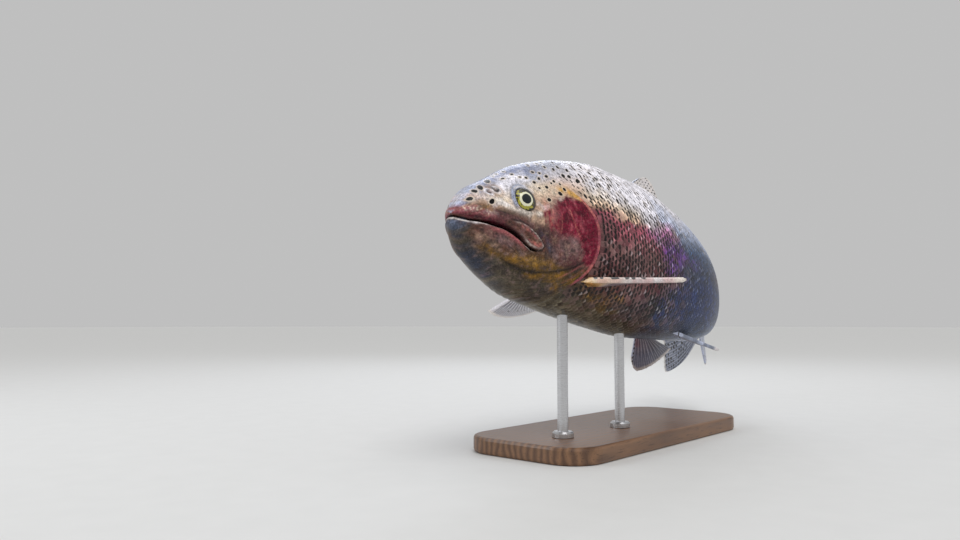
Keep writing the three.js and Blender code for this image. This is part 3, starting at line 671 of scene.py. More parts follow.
def paint(at, rise, s, z, gillGap):
    slow = cloud(s / 13, rise / 9, 1, 3)
    colour = bandColours(at + .012 * slow * smooth(.2, .26, at), rise + 2.6 * slow * smooth(.2, .26, at))
    fine = cloud(s / 2.6, z / 2.2, 1, 5)
    patchy = cloud(s / 5.5, z / 4.2, 1, 8)

    def lay(name, strength):
        nonlocal colour
        colour = tinted(colour, name, np.clip(strength, 0, 1))

    def onHead(name, strength):
        lay(name, strength * head)

    def brokenUp(broken, mottle):
        return np.clip(1 + broken * (1.5 * mottle - .2), 0, 1.5)

    head = smooth(1.0, -1.0, gillGap)
    for i, (line, width, name, strength, broken) in enumerate(washes):
        d, _ = lineDistance(line, s, z)
        near = bell(d, width)
        mottle = .75 * cloud(s / 4.6, z / 3.4, i, 21) + .35 * fine
        onHead(name, strength * near * brokenUp(broken, mottle))
    for i, (place, height, wide, high, name, strength, broken) in enumerate(clouds):
        near = np.exp(-((at - place) / wide) ** 2 - ((rise - height) / high) ** 2)
        mottle = cloud(s / 5.0, z / 4.0, i, 23) + .3 * fine
        lay(name, strength * near * brokenUp(broken, mottle) * (1 - head))
    # dark and light mottling of the jaw, cheek and throat
    low = smooth(10, -6, z) * smooth(6, 20, s)
    onHead("char", .6 * low * smooth(.1, .8, patchy))
    onHead("char", .5 * low * smooth(.15, .8, fine))
    onHead("dusk", .3 * low * smooth(-.3, -.9, fine))
    high = smooth(-4, 6, z) * (1 - smooth(80, 96, s) * smooth(30, 20, z))
    onHead("ash", .35 * high * smooth(.2, .9, fine))
    onHead("frost", .3 * high * smooth(-.2, -.9, patchy))
    onHead("tan", .3 * low * smooth(-33, -27, z) * smooth(-.25, -.9, cloud(s / 3.4, z / 2.4, 1, 12)))
    # crimson on the gill cover, deeper to the rear, broken up in front
    depth = insideOf(crimsonPatch, s, z) + 2.4 * patchy * smooth(116, 100, s) + 1.2 * fine
    patch = smooth(-1.6, 2.4, depth)
    front = smooth(102, 88, s)
    onHead("crimson", patch * (1 - .75 * front * smooth(-.5, .6, cloud(s / 3.2, z / 4.0, 1, 31))))
    onHead("salmon", .6 * front * patch * smooth(.1, .8, cloud(s / 3.0, z / 3.4, 1, 37)))
    onHead("wine", .9 * patch * (1 - front) * smooth(-.2, .7, patchy + .6 * fine))
    onHead("rose", .5 * patch * smooth(-.3, -.9, patchy + .6 * fine))
    onHead("wine", .3 * patch * smooth(117, 126, s))
    onHead("blush", .4 * patch * smooth(.45, 1.1, cloud(s / 2.2, z / 4.6, 1, 41)))
    # dull rim along the gill cover's edge, pale line of the fore gill plate
    rim = smooth(-3.9, -2.9, gillGap) * head * smooth(32, 26, z) * smooth(-47, -40, z)
    lay("rose", .8 * rim)
    lay("salmon", .6 * rim * smooth(-.2, .8, patchy))
    lay("salmon", .5 * rim * smooth(8, 20, z))
    thin = [
        ([(110, 19), (113, 8), (116, -1), (118, -7)], .5, "salmon", .8),
        ([(101, 13), (99.6, 3), (97, -6)], .5, "salmon", .4),
        ([(98, -40.6), (110, -34.6), (121, -28), (127, -22)], .6, "blush", .4),
        ([(103, -44), (114, -38), (123, -31), (129, -25)], .6, "blush", .3),
        ([(100, -47.6), (111, -42.4), (120, -36)], .6, "gold", .7),
        ([(84, -44), (98, -43)], .7, "gold", .6),
        # painted shade in the trough over the upper jaw bone and in the furrow under the ridge
        ([(32, .4), (40, .2), (48, -1), (56, -2.6)], .6, "char", .7),
        ([(31, 3.8), (43, 1.8), (52, -.2), (61, -3.8), (70, -8.4), (77, -14.4)], .8, "char", .9),
        ([(58, 2.6), (66, .6), (74, -3.6), (80, -9.0)], .6, "umber", .7),
        ([(24, -16), (36, -19), (47, -24), (56, -30)], .7, "char", .7),
        ([(14, -20), (24, -25), (36, -28)], .7, "char", .5),
    ]
    worn = .35 + .65 * smooth(-.5, .5, cloud(s / 3.4, z / 3.4, 1, 45))
    for line, width, name, strength in thin:
        d, share = lineDistance(line, s, z)
        onHead(name, strength * worn * bell(d, width) * smooth(0, .1, share) * smooth(1, .9, share))
    # lips: short cream streaks on the pink one, a broken pale rim below, a dark slit between; the slit's
    # darkness and the wine just above it are painted shade
    gap = z - mouthHeight(s)
    across = z + .16 * (s - 12)
    onLip = smooth(-.4, .4, across) * smooth(4.6, 3.8, across) * smooth(8, 9.5, s) * smooth(30, 26, s)
    streak = smooth(.2, .8, np.cos(2 * np.pi * (s + .25 * z) / 2.3 + 1.1 * np.sin(.8 * s)))
    onHead("cream", .6 * onLip * streak * smooth(-.6, .3, cloud(s / 2.2, z / 6, 1, 55)))
    shadeAbove = smooth(-.8, 0, gap) * smooth(3.6 + .8 * patchy, 1.4, gap)
    shadeAbove = shadeAbove * smooth(14, 24, s) * smooth(64, 50, s)
    onHead("wine", .75 * shadeAbove)
    broken = .4 + .6 * smooth(-.4, .6, cloud(s / 3.0, 0 * z, 1, 51)) + .3 * smooth(16, 10, s)
    onHead("snow", .75 * broken * bell(gap + 1.6, .5) * smooth(70, 60, s))
    onHead("blush", .75 * bell(gap + 3.8, 1.4) * smooth(22, 34, s) * smooth(64, 52, s))
    # the slit's near-black: painted shade in the mouth's gap
    d, _ = lineDistance(headLines["mouth"], s, z)
    onHead("ink", .97 * bell(d, .6 + .8 * smooth(16, 34, s) * smooth(60, 44, s)) * smooth(76, 68, s))
    # the upper jaw bone: dusk and pale lines just inside its edge, a painted highlight along its border,
    # and painted shade in the trough round it
    plate = insideOf(headLines["maxilla"], s, z)
    onHead("dusk", .75 * bell(plate - 1.0, .7) * smooth(50, 60, s))
    onHead("blush", .55 * bell(plate - 3.0, .7) * smooth(.0, .7, fine + .4) * smooth(56, 66, s))
    onHead("pale", .6 * bell(plate - .7, .45) * smooth(46, 56, s) * smooth(-.6, .3, patchy))
    onHead("ink", .85 * bell(plate + .8, .8) * smooth(38, 50, s))
    # painted shade in the jaw fold
    d, _ = lineDistance(jawFold, s, z)
    onHead("ink", .7 * bell(d, .8) * smooth(34, 46, s))
    # the jaw's knob: grey with a pale rim, and a painted highlight on the lower lip's rim behind it
    knob = np.hypot((s - 8) / 4.4, (z + 8.6) / 4.8)
    onHead("lead", .85 * smooth(1.15, .7, knob) * (1 - .4 * smooth(0, .8, fine)))
    onHead("fog", .5 * smooth(.8, .2, knob) * smooth(-.3, .5, patchy))
    onHead("pale", .55 * bell(gap + 1.7, .5) * smooth(14, 10, s))
    onHead("frost", .45 * bell(gap + 2.1, .8) * bell(s - 16.5, 2.0))
    onHead("storm", .5 * bell(knob - 1.25, .25) * smooth(-4, -8, z))
    # a pale ring round the first nostril, a dark crooked slit for the second; the near-black in the
    # nostril pits and in the slit is painted shade
    for i, (ns, nz) in enumerate(nostrils):
        d = np.hypot((s - ns) / 1.1, z - nz)
        onHead("tan", .5 * bell(d - 4.8, 1.6))
        onHead("frost", (.98 - .4 * i) * bell(d - 2.6, 1.0))
    for ns, nz in nostrils:
        onHead("maroon", .9 * bell(np.hypot(s - ns - .3, z - nz + .2), 1.8))
        onHead("ink", .95 * bell(np.hypot(s - ns - 1.0, z - nz + .4), 1.1))
    d, _ = lineDistance([(34.6, 22.8), (35.8, 20.6), (37.6, 19.8), (39.8, 21.4)], s, z)
    onHead("ink", .95 * bell(d, 1.1))
    return colour


def paintRoundEye(colour, points, side):
    # grey lid tissue before and over the eye; a white arc above the opening, a painted highlight; a dark
    # line round the opening and dark inside it, painted shade that is deepest behind the eye
    for way in (1, -1):
        out, ring, x, y = eyePlace(way, points)
        near = (side == way) & (np.abs(out) < 12)
        towards = smooth(-.1, .5, (x * .8 + y * .65) / np.maximum(.2, ring / 10))
        speckle = cloud(x * 5, y * 5, 2, 61)
        far = np.maximum(4, ring)
        for name, strength in (
                ("fog", .85 * smooth(15.2, 13.6, ring) * towards),
                ("steel", .5 * smooth(14.8, 12, ring) * towards * smooth(.2, .8, speckle)),
                ("snow", .7 * bell(ring - 12.2, 1.0) * smooth(.4, .8, y * 10 / far)),
                ("storm", .45 * bell(ring - 15.0, .7) * smooth(.3, .8, x * 10 / far)),
                ("ink", .85 * bell(ring - 9.9, .6) * (1 - .4 * towards)),
                ("ink", .8 * bell(ring - 10.2, 1.1) * smooth(.1, .8, -x * 10 / far)),
                ("ink", .8 * smooth(9.9, 9.2, ring))):
            colour = tinted(colour, name, np.where(near, strength, 0))
    return colour


# Spots, the same on skin and scales.
spotPlan = {
    # at, height angle, half length, half width, tilt of the length from the body's line
    "head": [(.0668, 67, 3.3, 2.2, 61), (.0472, 56, 3.3, 2.1, 76), (.0365, 53, 2.7, 1.3, -71),
             (.0264, 40, 2.5, 1.4, -53), (.0529, 19, 2.3, 1.9, 28), (.0895, 57, 1.7, 1.0, -25),
             (.1091, 58, 1.6, 1.3, 1), (.1059, 74, 2.0, 1.2, 64), (.0952, 79, 2.6, 1.1, 58),
             (.087, 78, 2.4, 1.0, 53), (.1179, 49, 1.7, 1.2, -6), (.1286, 46, 1.7, 1.4, 6),
             (.1488, 53, 1.8, 1.4, -8), (.1608, 50, 1.7, 1.2, 11), (.1533, 43, 1.8, 1.5, 49),
             (.14, 39, 1.9, 1.4, 8), (.1709, 45, 2.1, 1.5, 9), (.1817, 39, 1.6, 1.5, 0),
             (.1741, 37, 1.3, 1.0, 16), (.1918, 36, 1.4, 1.2, -15), (.1615, 33, 1.9, 1.5, -10),
             (.1457, 32, 1.4, 1.1, -11), (.1968, 31, 1.7, 1.5, -61), (.1855, 27, 2.4, 1.9, -19),
             (.1589, 21, 2.3, 1.7, 5), (.2069, 45, 2.3, 1.8, 85), (.2177, 44, 2.2, 1.7, 81),
             (.229, 39, 2.3, 1.7, 69), (.182, 59, 2, 1.4, 60), (.196, 54, 2, 1.4, 60),
             (.188, 70, 2, 1.4, 60), (.175, 69, 2, 1.4, 60), (.155, 69, 2, 1.4, 60),
             (.17, 82, 2, 1.4, 60), (.14, 80, 2, 1.3, 60), (.2, 83, 2.2, 1.4, 60), (.16, 96, 2, 1.3, 60),
             (.125, 90, 2, 1.2, 60), (.21, 68, 2.2, 1.4, 60), (.208, 57, 2.1, 1.4, 70),
             (.222, 52, 2.2, 1.5, 70)],
    "start": .232,
    "end": .985,
    "alongStep": 5.4,
    "roundStep": 5.6,
    "jitter": .3,  # in steps
    "half": 2.3,
    "width": 1.05,
    "tilt": 112,
    "tiltSpread": 9,
    "gillClear": .010,
    "none": -3.0,  # the field's value far from any spot
}


def makeSpots():
    # rows of at, angle, half length, half width, tilt
    rows = []
    for side in (1, -1):
        for at, rise, half, width, tilt in spotPlan["head"]:
            moved = 0 if side == 1 else 1
            at = at + moved * random.normal(0, .005)
            rise = rise + moved * random.normal(0, 2.5)
            rows.append((at, rise if side == 1 else 180 - rise, half, width, tilt * side))
    at = spotPlan["start"]
    odd = 0
    jitter = spotPlan["jitter"]
    while at < spotPlan["end"]:
        radius = float(np.linalg.norm(bodyPoint(at, 60.0) - bodyPoint(at, 120.0))) / math.radians(60)
        count = int(2 * math.pi * radius / spotPlan["roundStep"])
        for k in range(count):
            angle = -90 + 360 * (k + .5 * odd + random.uniform(-jitter, jitter)) / count
            rise = angle if angle <= 90 else 180 - angle
            chance = float((.8 - .5 * smooth(.27, .36, at)) * smooth(14, 30, rise)
                           + .3 * smooth(.7, .9, at) * smooth(-40, 0, rise))
            picked = random.random() < chance
            a = at + random.uniform(-jitter, jitter) * spotPlan["alongStep"] / body["length"]
            size = random.uniform(.7, 1.2) * (.8 + .2 * float(smooth(8, 34, rise)))
            tilt = spotPlan["tilt"] + random.normal(0, spotPlan["tiltSpread"])
            tilt = tilt * (1 if angle <= 90 else -1)
            edge = gillEdgeBack(bodySection(a, angle)[1]) / body["length"]
            if picked and a > edge + spotPlan["gillClear"]:
                rows.append((a, angle, spotPlan["half"] * size, spotPlan["width"] * size ** 1.5, tilt))
        at += spotPlan["alongStep"] / body["length"]
        odd = 1 - odd
    return np.array(rows)


spots = makeSpots()


def spotField(at, angle):
    # how far inside the nearest spot each place is, in millimetres; negative outside
    order = np.argsort(at, kind="stable")
    sortedAt = at[order]
    sortedAngle = angle[order]
    field = np.full(len(at), spotPlan["none"])
    radius = bodyRadius(spots[:, 0], spots[:, 1], 2.0)
    reach = (spots[:, 2] + 2.0) / body["length"]
    starts = np.searchsorted(sortedAt, spots[:, 0] - reach)
    ends = np.searchsorted(sortedAt, spots[:, 0] + reach)
    for (spotAt, spotAngle, half, width, tilt), r, lo, hi in zip(spots, radius, starts, ends):
        dx = (sortedAt[lo:hi] - spotAt) * body["length"]
        dy = np.radians((sortedAngle[lo:hi] - spotAngle + 180) % 360 - 180) * r
        c, s = math.cos(math.radians(tilt)), math.sin(math.radians(tilt))
        inside = (1 - np.sqrt(((dx * c + dy * s) / half) ** 2 + ((dy * c - dx * s) / width) ** 2)) * width
        field[lo:hi] = np.maximum(field[lo:hi], inside)
    result = np.empty(len(at))
    result[order] = field
    return result


def describe(at, angle):
    left, up = bodySection(at, angle)
    side = np.where(left >= 0, 1, -1)
    rise = np.where(angle <= 90, angle, 180 - angle)
    s = at * body["length"]
    # the hooked jaw's tip sits a little high on the far side of the snout
    hook = 3.6 * smooth(1, -9, left) * smooth(24, 13, s)
    return rise, s, up - hook, side, s - gillEdgeBack(up)


# Materials of the flesh.
def node(tree, kind, **values):
    # named values are settings of the node; those in "into" go to its sockets, as values or links
    made = tree.nodes.new(kind)
    into = values.pop("into", {})
    for key, value in values.items():
        setattr(made, key, value)
    for key, value in into.items():
        if isinstance(value, bpy.types.NodeSocket):
            tree.links.new(value, made.inputs[key])
        else:
            made.inputs[key].default_value = value
    return made


def rgba(name):
    return (*[float(v) for v in swatch(name)], 1.0)


def mixColour(tree, share, a, b):
    # a mix node has sockets for every kind of value: 0, 6 and 7 are the ones for colours
    made = node(tree, "ShaderNodeMix", data_type="RGBA", into={0: share, 6: a, 7: b})
    return made.outputs[2]


def scaled(tree, where, factor):
    made = node(tree, "ShaderNodeVectorMath", operation="SCALE", into={0: where, "Scale": factor})
    return made.outputs[0]


def stretched(tree, where, factors):
    return node(tree, "ShaderNodeMapping", into={"Vector": where, "Scale": factors}).outputs[0]


def addBump(tree, shader, height, strength, distance):
    bump = node(tree, "ShaderNodeBump",
                into={"Height": height, "Strength": strength, "Distance": distance})
    tree.links.new(bump.outputs[0], shader.inputs["Normal"])


def between(tree, value, low, high, toLow=0.0, toHigh=1.0, steps="SMOOTHSTEP"):
    made = node(tree, "ShaderNodeMapRange", interpolation_type=steps, into={
        "Value": value, "From Min": low, "From Max": high, "To Min": toLow, "To Max": toHigh})
    return made.outputs["Result"]


def sums(tree, kind, a, b):
    made = node(tree, "ShaderNodeMath", operation=kind, into={0: a, 1: b})
    return made.outputs[0]


def noise(tree, where, scale, detail=3.0, rough=.55):
    made = node(tree, "ShaderNodeTexNoise", into={"Vector": where, "Scale": scale, "Detail": detail,
                                                 "Roughness": rough})
    return made.outputs["Fac"]


def markingsGroup():
    group = bpy.data.node_groups.new("trout markings", "ShaderNodeTree")
    face = group.interface
    for name in ("Grain", "Halo"):
        face.new_socket(name, in_out="INPUT", socket_type="NodeSocketFloat").default_value = .5
    for name, kind in (("Colour", "NodeSocketColor"), ("Roughness", "NodeSocketFloat"),
                       ("Height", "NodeSocketFloat")):
        face.new_socket(name, in_out="OUTPUT", socket_type=kind)
    enter = node(group, "NodeGroupInput")
    leave = node(group, "NodeGroupOutput")
    where = node(group, "ShaderNodeTexCoord").outputs["Object"]
    painted = node(group, "ShaderNodeAttribute", attribute_name="paint").outputs["Color"]
    spot = node(group, "ShaderNodeAttribute", attribute_name="spot").outputs["Fac"]
    broad = noise(group, where, 70.0)
    middle = noise(group, where, 260.0, 4.0, .65)
    speck = noise(group, where, 640.0, 4.0, .7)
    fine = noise(group, where, 1300.0, 2.0, .6)
    shade = sums(group, "MULTIPLY", between(group, middle, .3, .7, .7, 1.25, "LINEAR"),
                 between(group, speck, .34, .66, .5, 1.55, "LINEAR"))
    shaded = mixColour(group, enter.outputs["Grain"], painted, scaled(group, painted, shade))
    shaded = scaled(group, shaded, between(group, broad, .35, .65, .9, 1.1, "LINEAR"))
    freckle = between(group, fine, .56, .72)
    freckle = sums(group, "MULTIPLY", freckle, .1)
    shaded = mixColour(group, freckle, shaded, rgba("cream"))
    wobble = sums(group, "ADD", spot, between(group, middle, .2, .8, -.35, .35, "LINEAR"))
    halo = sums(group, "MULTIPLY", between(group, wobble, -1.3, -.35), enter.outputs["Halo"])
    shaded = mixColour(group, halo, shaded, rgba("cream"))
    dark = between(group, wobble, -.2, .14)
    coloured = mixColour(group, dark, shaded, rgba("ink"))
    rough = between(group, middle, .3, .7, .26, .42, "LINEAR")
    group.links.new(coloured, leave.inputs["Colour"])
    group.links.new(rough, leave.inputs["Roughness"])
    group.links.new(sums(group, "ADD", fine, speck), leave.inputs["Height"])
    return group


markings = markingsGroup()


def newMaterial(name):
    made = bpy.data.materials.new(name)
    made.use_nodes = True
    tree = made.node_tree
    tree.nodes.clear()
    shader = node(tree, "ShaderNodeBsdfPrincipled")
    out = node(tree, "ShaderNodeOutputMaterial")
    tree.links.new(shader.outputs[0], out.inputs["Surface"])
    return made, tree, shader


def setAll(shader, values):
    for key, value in values.items():
        shader.inputs[key].default_value = value


def fleshMaterial(plan):
    made, tree, shader = newMaterial(plan["name"])
    into = {"Grain": plan["grain"], "Halo": plan["halo"]}
    marks = node(tree, "ShaderNodeGroup", node_tree=markings, into=into)
    tree.links.new(marks.outputs["Colour"], shader.inputs["Base Color"])
    tree.links.new(marks.outputs["Roughness"], shader.inputs["Roughness"])
    addBump(tree, shader, marks.outputs["Height"], plan["bump"], plan["bumpDepth"])
    setAll(shader, plan["gloss"])
    return made


skinMaterial = fleshMaterial({
    "name": "wet skin", "grain": .9, "halo": .6, "bump": .35, "bumpDepth": .0004,
    "gloss": {"Coat Weight": .12, "Coat Roughness": .12, "Specular IOR Level": .12},
})
coatMaterial = fleshMaterial({
    "name": "scales", "grain": .5, "halo": .3, "bump": .35, "bumpDepth": .0001,
    "gloss": {"Coat Weight": .1, "Coat Roughness": .15, "Specular IOR Level": .15},
})
finMaterial = fleshMaterial({
    "name": "fin", "grain": .45, "halo": .0, "bump": .3, "bumpDepth": .0002,
    "gloss": {"Coat Weight": .3},
})
print("materials of the flesh are ready")

# The skin.
skinPlan = {
    "depth": .75,  # under the scales
    "headDepth": .25,
    "reliefEnd": 12,  # behind the gill edge
    # painted shade: the skin is darker where the scales cover it, so it shows darker in the gaps between
    # them
    "paintedShadeUnderScales": .45,  # under the scales
}


def makeSkin():
    at, angle = gridPlaces()
    rows, columns = at.shape
    flatAt = at.ravel()
    flatAngle = angle.ravel()
    rise, s, up, side, gillGap = describe(flatAt, flatAngle)
    covered = smooth(0, 6, gillGap)
    inset = -(skinPlan["headDepth"] + (skinPlan["depth"] - skinPlan["headDepth"]) * covered)
    points = bodyPoint(flatAt, flatAngle, inset)
    faces = ringFaces(rows, columns)
    # normals of the plain form
    a, b, c, d = (points[faces[:, k]] for k in range(4))
    faceNormal = np.cross(c - a, d - b)
    normal = np.zeros(points.shape)
    for k in range(4):
        np.add.at(normal, faces[:, k], faceNormal)
    normal = unit(normal)
    outside = (normal * bodyNormal(flatAt, flatAngle)).sum(-1).mean()
    if outside < 0:
        normal = -normal
    near = gillGap < skinPlan["reliefEnd"]
    lift = np.zeros(len(points))
    lift[near] = headRelief(s[near], up[near], side[near], points[near], gillGap[near])
    lift[near] -= mouthPush(s[near], up[near])
    points = points + normal * lift[:, None]
    front = points[:columns].mean(0)
    front[0] = points[:columns, 0].mean()
    back = points[-columns:].mean(0)
    points = np.concatenate([points, [front, back]])
    last = len(points) - 1
    around = np.arange(columns)
    after = (around + 1) % columns
    rear = (rows - 1) * columns
    capFaces = np.concatenate([
        np.stack([np.full(columns, last - 1), around, after], -1),
        np.stack([np.full(columns, last), rear + after, rear + around], -1)])
    if outside < 0:
        faces = faces[:, ::-1]
        capFaces = capFaces[:, ::-1]
    skin = meshPiece("trout_skin", toWorld(points), [faces, capFaces])
    colour = paint(flatAt, rise, s, up, gillGap)
    colour = paintRoundEye(colour, bodyPoint(flatAt, flatAngle), side)
    # painted shade on the skin behind the gill edge, under the scales
    colour = colour * (1 - skinPlan["paintedShadeUnderScales"] * smooth(2, 6, gillGap)[:, None])
    colour = np.concatenate([colour, colour[:1], colour[-1:]])
    field = spotField(flatAt, flatAngle)
    field = np.concatenate([field, field[:1], field[-1:]])
    keep(skin, "paint", colour)
    keep(skin, "spot", field)
    skin.data.materials.append(skinMaterial)
    return skin


skin = makeSkin()
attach(skin, "root")
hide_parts("head", "lower_jaw", "gill_cover_left", "gill_cover_right", "maxilla_left",
            "maxilla_right", "trunk", "tail_stalk")
print("skin:", len(skin.data.vertices), "vertices")

# The scales: rows round the body, each scale a solid that leans back over the next row.
scalePlan = {
    "files": 71,
    "stepFront": 4.7,
    "stepRear": 3.5,
    "first": .165,
    "last": 1.012,
    "tailEnd": 1.022,
    "underCover": -1.5,  # the first ones start this far under the gill cover
    "reach": 2.15,  # length in steps
    "width": .62,  # half width in files
    "lift": .8,
    "crown": .10,
    "rootDepth": .12,
    "across": 8,
    "along": [0, .34, .47, .54, .6, .67, .74, .82, .91, 1],
    "pieces": 9,
    "girthPoints": 721,
}


def scaleRows():
    rows = []
    at = scalePlan["first"]
    front, rear = scalePlan["stepFront"], scalePlan["stepRear"]
    while at < scalePlan["last"]:
        rows.append(at)
        share = float(smooth(.35, .95, at))
        at += (front + (rear - front) * share) / body["length"]
    return np.array(rows)


def scaleSeats(rows):
    # files are spaced evenly over the girth, not by angle
    files = scalePlan["files"]
    k = np.arange(files)
    rowNumber = np.repeat(np.arange(len(rows)), files)
    angles = np.linspace(-90, 270, scalePlan["girthPoints"])
    angle = np.empty(len(rowNumber))
    halfWide = np.empty(len(rowNumber))
    for i, place in enumerate(rows):
        ring = bodyPoint(np.full(len(angles), place), angles)
        girth = np.concatenate([[0], np.cumsum(np.linalg.norm(np.diff(ring, axis=0), axis=1))])
        where = ((k + .5 * (i % 2)) / files % 1) * girth[-1]
        angle[rowNumber == i] = np.interp(where, girth, angles)
        halfWide[rowNumber == i] = girth[-1] / files
    return rowNumber, angle, halfWide


def scaleFaces():
    # corner numbers of one scale: the squares of its top, and its underside from rim to rim
    rows, columns = scalePlan["across"] + 1, len(scalePlan["along"])
    index = np.arange(rows * columns).reshape(rows, columns)
    quads = np.stack([index[:-1, :-1], index[:-1, 1:], index[1:, 1:], index[1:, :-1]], -1).reshape(-1, 4)
    rim = list(index[:, 0]) + list(index[-1, 1:]) + list(index[:-1, -1][::-1]) + list(index[0, 1:-1][::-1])
    order = rim[::-1]
    across = [(order[i], order[i + 1], order[-2 - i], order[-1 - i]) for i in range(len(rim) // 2 - 1)]
    return index.size, quads, np.array([corners for corners in across if len(set(corners)) == 4])


def scaleMarks(colour, uu, vv, rootAt, tones, rise, s, side, draw):
    # each scale's own marks: a dark tick at its root, partly pigment and partly painted shadow under the
    # rim of the scale in front; a pale crescent before its rim, a painted highlight
    flank = smooth(30, 14, rise) * smooth(-84, -60, rise)
    back = smooth(18, 34, rise)
    rear = smooth(.44, .54, rootAt)
    strength = draw(0, 1)
    wide = draw(.5, .95)
    skew = draw(-.08, .08)
    flecked = draw(0, 1)
    hue = draw(0, 1)
    dusky = cloud(s / 16, rise / 10, 1, 71)
    higher = uu * np.where(side >= 0, 1, -1)
    place = vv + (skew + .13 * smooth(4, 26, rise) - .04 * flank) * higher
    long = 1 - .45 * back
    pigmentAndShadowTick = smooth(.45, .49, place) * smooth(.45 + .30 * long, .45 + .24 * long, place)
    pigmentAndShadowTick = pigmentAndShadowTick * smooth(wide + .12, wide - .12, np.abs(uu) / (1 - .25 * back))
    highest = smooth(38, 58, rise)
    bar = .14 + .24 * highest
    chosen = smooth(.04, .25, strength + .25 * dusky) * (1 - back)
    chosen = chosen + smooth(bar, bar + .14, strength) * back
    lowest = smooth(-46, -66, rise)
    pigmentAndShadowTick = pigmentAndShadowTick * chosen * (1 - .3 * highest) * (1 - .6 * lowest) * (1 - .5 * rear)
    # the crescent's gleam, sheen and brightening are painted highlight
    crescent = smooth(.72, .78, place) * smooth(.99, .94, place) * smooth(.85, .55, np.abs(uu))
    gleam = crescent * smooth(.4, .6, flecked + .2 * dusky) * (1 - .6 * lowest)
    bright = crescent * smooth(.80, .88, flecked + .1 * dusky) * (1 - .6 * lowest)
    shade = (.5 + .92 * tones) * (1 - .3 * flank * smooth(-.2, 1, dusky))
    shade = shade + (1 - shade) * .6 * back
    lit = shade * (1 + .7 * gleam * (1 - back))
    sheen = .02 * (gleam * flank * (1 - .5 * rear))
    colour = colour * lit[:, None] + sheen[:, None]
    colour = tinted(colour, "fog", .32 * bright * rear)
    colour = tinted(colour, "pearl", .42 * bright * flank * (1 - rear))
    for name, share in (
            ("taupe", smooth(.6, .8, hue)),
            ("wine", .6 * smooth(.3, .1, hue)),
            ("olive", .5 * smooth(.45, .5, hue) * smooth(.6, .55, hue))):
        colour = tinted(colour, name, .5 * flank * (1 - rear) * share)
    return tinted(colour, "ink", .97 * pigmentAndShadowTick)


def makeScales():
    rows = scaleRows()
    rowNumber, angle, halfWide = scaleSeats(rows)
    at = rows[rowNumber]
    count = len(at)
    at = at + random.normal(0, .00035, count)
    angle = angle + random.normal(0, .22, count)
    step = np.gradient(rows)[rowNumber] * body["length"]
    size = random.uniform(.93, 1.07, count)
    lean = random.normal(0, .07, count)
    level = random.normal(0, .045, count)
    tone = random.random(count)
    gillGap = describe(at, angle)[-1]
    radius = bodyRadius(at, angle, 1.0)
    tipAt = at + scalePlan["reach"] * step / body["length"]
    kept = (gillGap > scalePlan["underCover"]) & (tipAt < scalePlan["tailEnd"])
    seats = (at, angle, halfWide, step, size, lean, level, tone, radius)
    at, angle, halfWide, step, size, lean, level, tone, radius = (values[kept] for values in seats)

    def col(values):
        return values[:, None, None]

    # one scale's form: u across it, v from its root to its rim
    u = np.linspace(-1, 1, scalePlan["across"] + 1)[None, :, None]
    v = np.array(scalePlan["along"])[None, None, :]
    outline = np.sqrt(np.maximum(0, 1 - np.clip((v - .52) / .48, 0, 1) ** 2.4))
    outline = np.maximum(outline * (.72 + .28 * smooth(0, .45, v)), .16)
    across = u * outline * col(halfWide * scalePlan["width"] * size)
    rounding = 1 - .10 * u ** 2 * smooth(.5, 1, v)
    along = v * rounding * col(step * scalePlan["reach"] * size) + across * col(lean)
    crown = scalePlan["crown"] * (1 - u ** 2) * np.sin(np.pi * np.clip(v, .05, .95))
    height = -skinPlan["depth"] - scalePlan["rootDepth"] + scalePlan["lift"] * v ** .9 + crown
    height = height - scalePlan["crown"] * u ** 2 + col(level) * v
    cornerAt = col(at) + along / body["length"]
    cornerAngle = col(angle) + np.degrees(across / col(radius))
    shape = cornerAt.shape
    cornerAt = cornerAt.ravel()
    cornerAngle = cornerAngle.ravel()

    def atCorners(values):
        return np.broadcast_to(values, shape).ravel()

    def draw(low, high):
        return atCorners(col(random.uniform(low, high, len(at))))

    points = toWorld(bodyPoint(cornerAt, cornerAngle, atCorners(height)))
    rise, s, up, side, gillGap = describe(cornerAt, cornerAngle)
    colour = paint(cornerAt, rise, s, up, gillGap)
    field = spotField(cornerAt, cornerAngle)
    uu = atCorners(u)
    vv = atCorners(v)
    colour = scaleMarks(colour, uu, vv, atCorners(col(at)), atCorners(col(tone)), rise, s, side, draw)
    # pieces by place round the body, and a small patch of the bake map for each scale
    perScale, quads, underside = scaleFaces()
    turnShare = ((angle + 90) % 360) / 360
    group = np.minimum((turnShare * scalePlan["pieces"]).astype(int), scalePlan["pieces"] - 1)
    patchU = np.repeat(at, perScale) + (vv - .5) * .003
    patchV = np.repeat(turnShare, perScale) * .99 + .005 + uu * .0015
    pieces = []
    for g in range(scalePlan["pieces"]):
        which = np.nonzero(group == g)[0]
        vertex = (which[:, None] * perScale + np.arange(perScale)[None, :]).ravel()
        offsets = (np.arange(len(which)) * perScale)[:, None, None]
        faces = [(quads[None] + offsets).reshape(-1, 4), (underside[None] + offsets).reshape(-1, 4)]
        piece = meshPiece("trout_scales_%d" % (g + 1), points[vertex], faces)
        keep(piece, "paint", colour[vertex])
        keep(piece, "spot", field[vertex])
        uv = piece.data.uv_layers.new(name="OFBake")
        corner = np.empty(len(piece.data.loops), np.int32)
        piece.data.loops.foreach_get("vertex_index", corner)
        patch = np.stack([patchU[vertex][corner], patchV[vertex][corner]], -1)
        uv.uv.foreach_set("vector", patch.astype(np.float32).ravel())
        piece.data.materials.append(coatMaterial)
        pieces.append(piece)
    return pieces


coat = makeScales()
for piece in coat:
    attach(piece, "root")
    print(piece.name, sum(len(p.vertices) - 2 for p in piece.data.polygons), "triangles")

# The eyes: each is one ball, its pole turned outwards.
irisPlan = {
    "gold": (.48, .44, .05, 1),
    "ring": (.86, .84, .62, 1),
    "pupil": (.003, .007, .010, 1),
    "gloss": {"Roughness": .32, "Coat Weight": .45, "Coat Roughness": .03, "Specular IOR Level": .25},
}


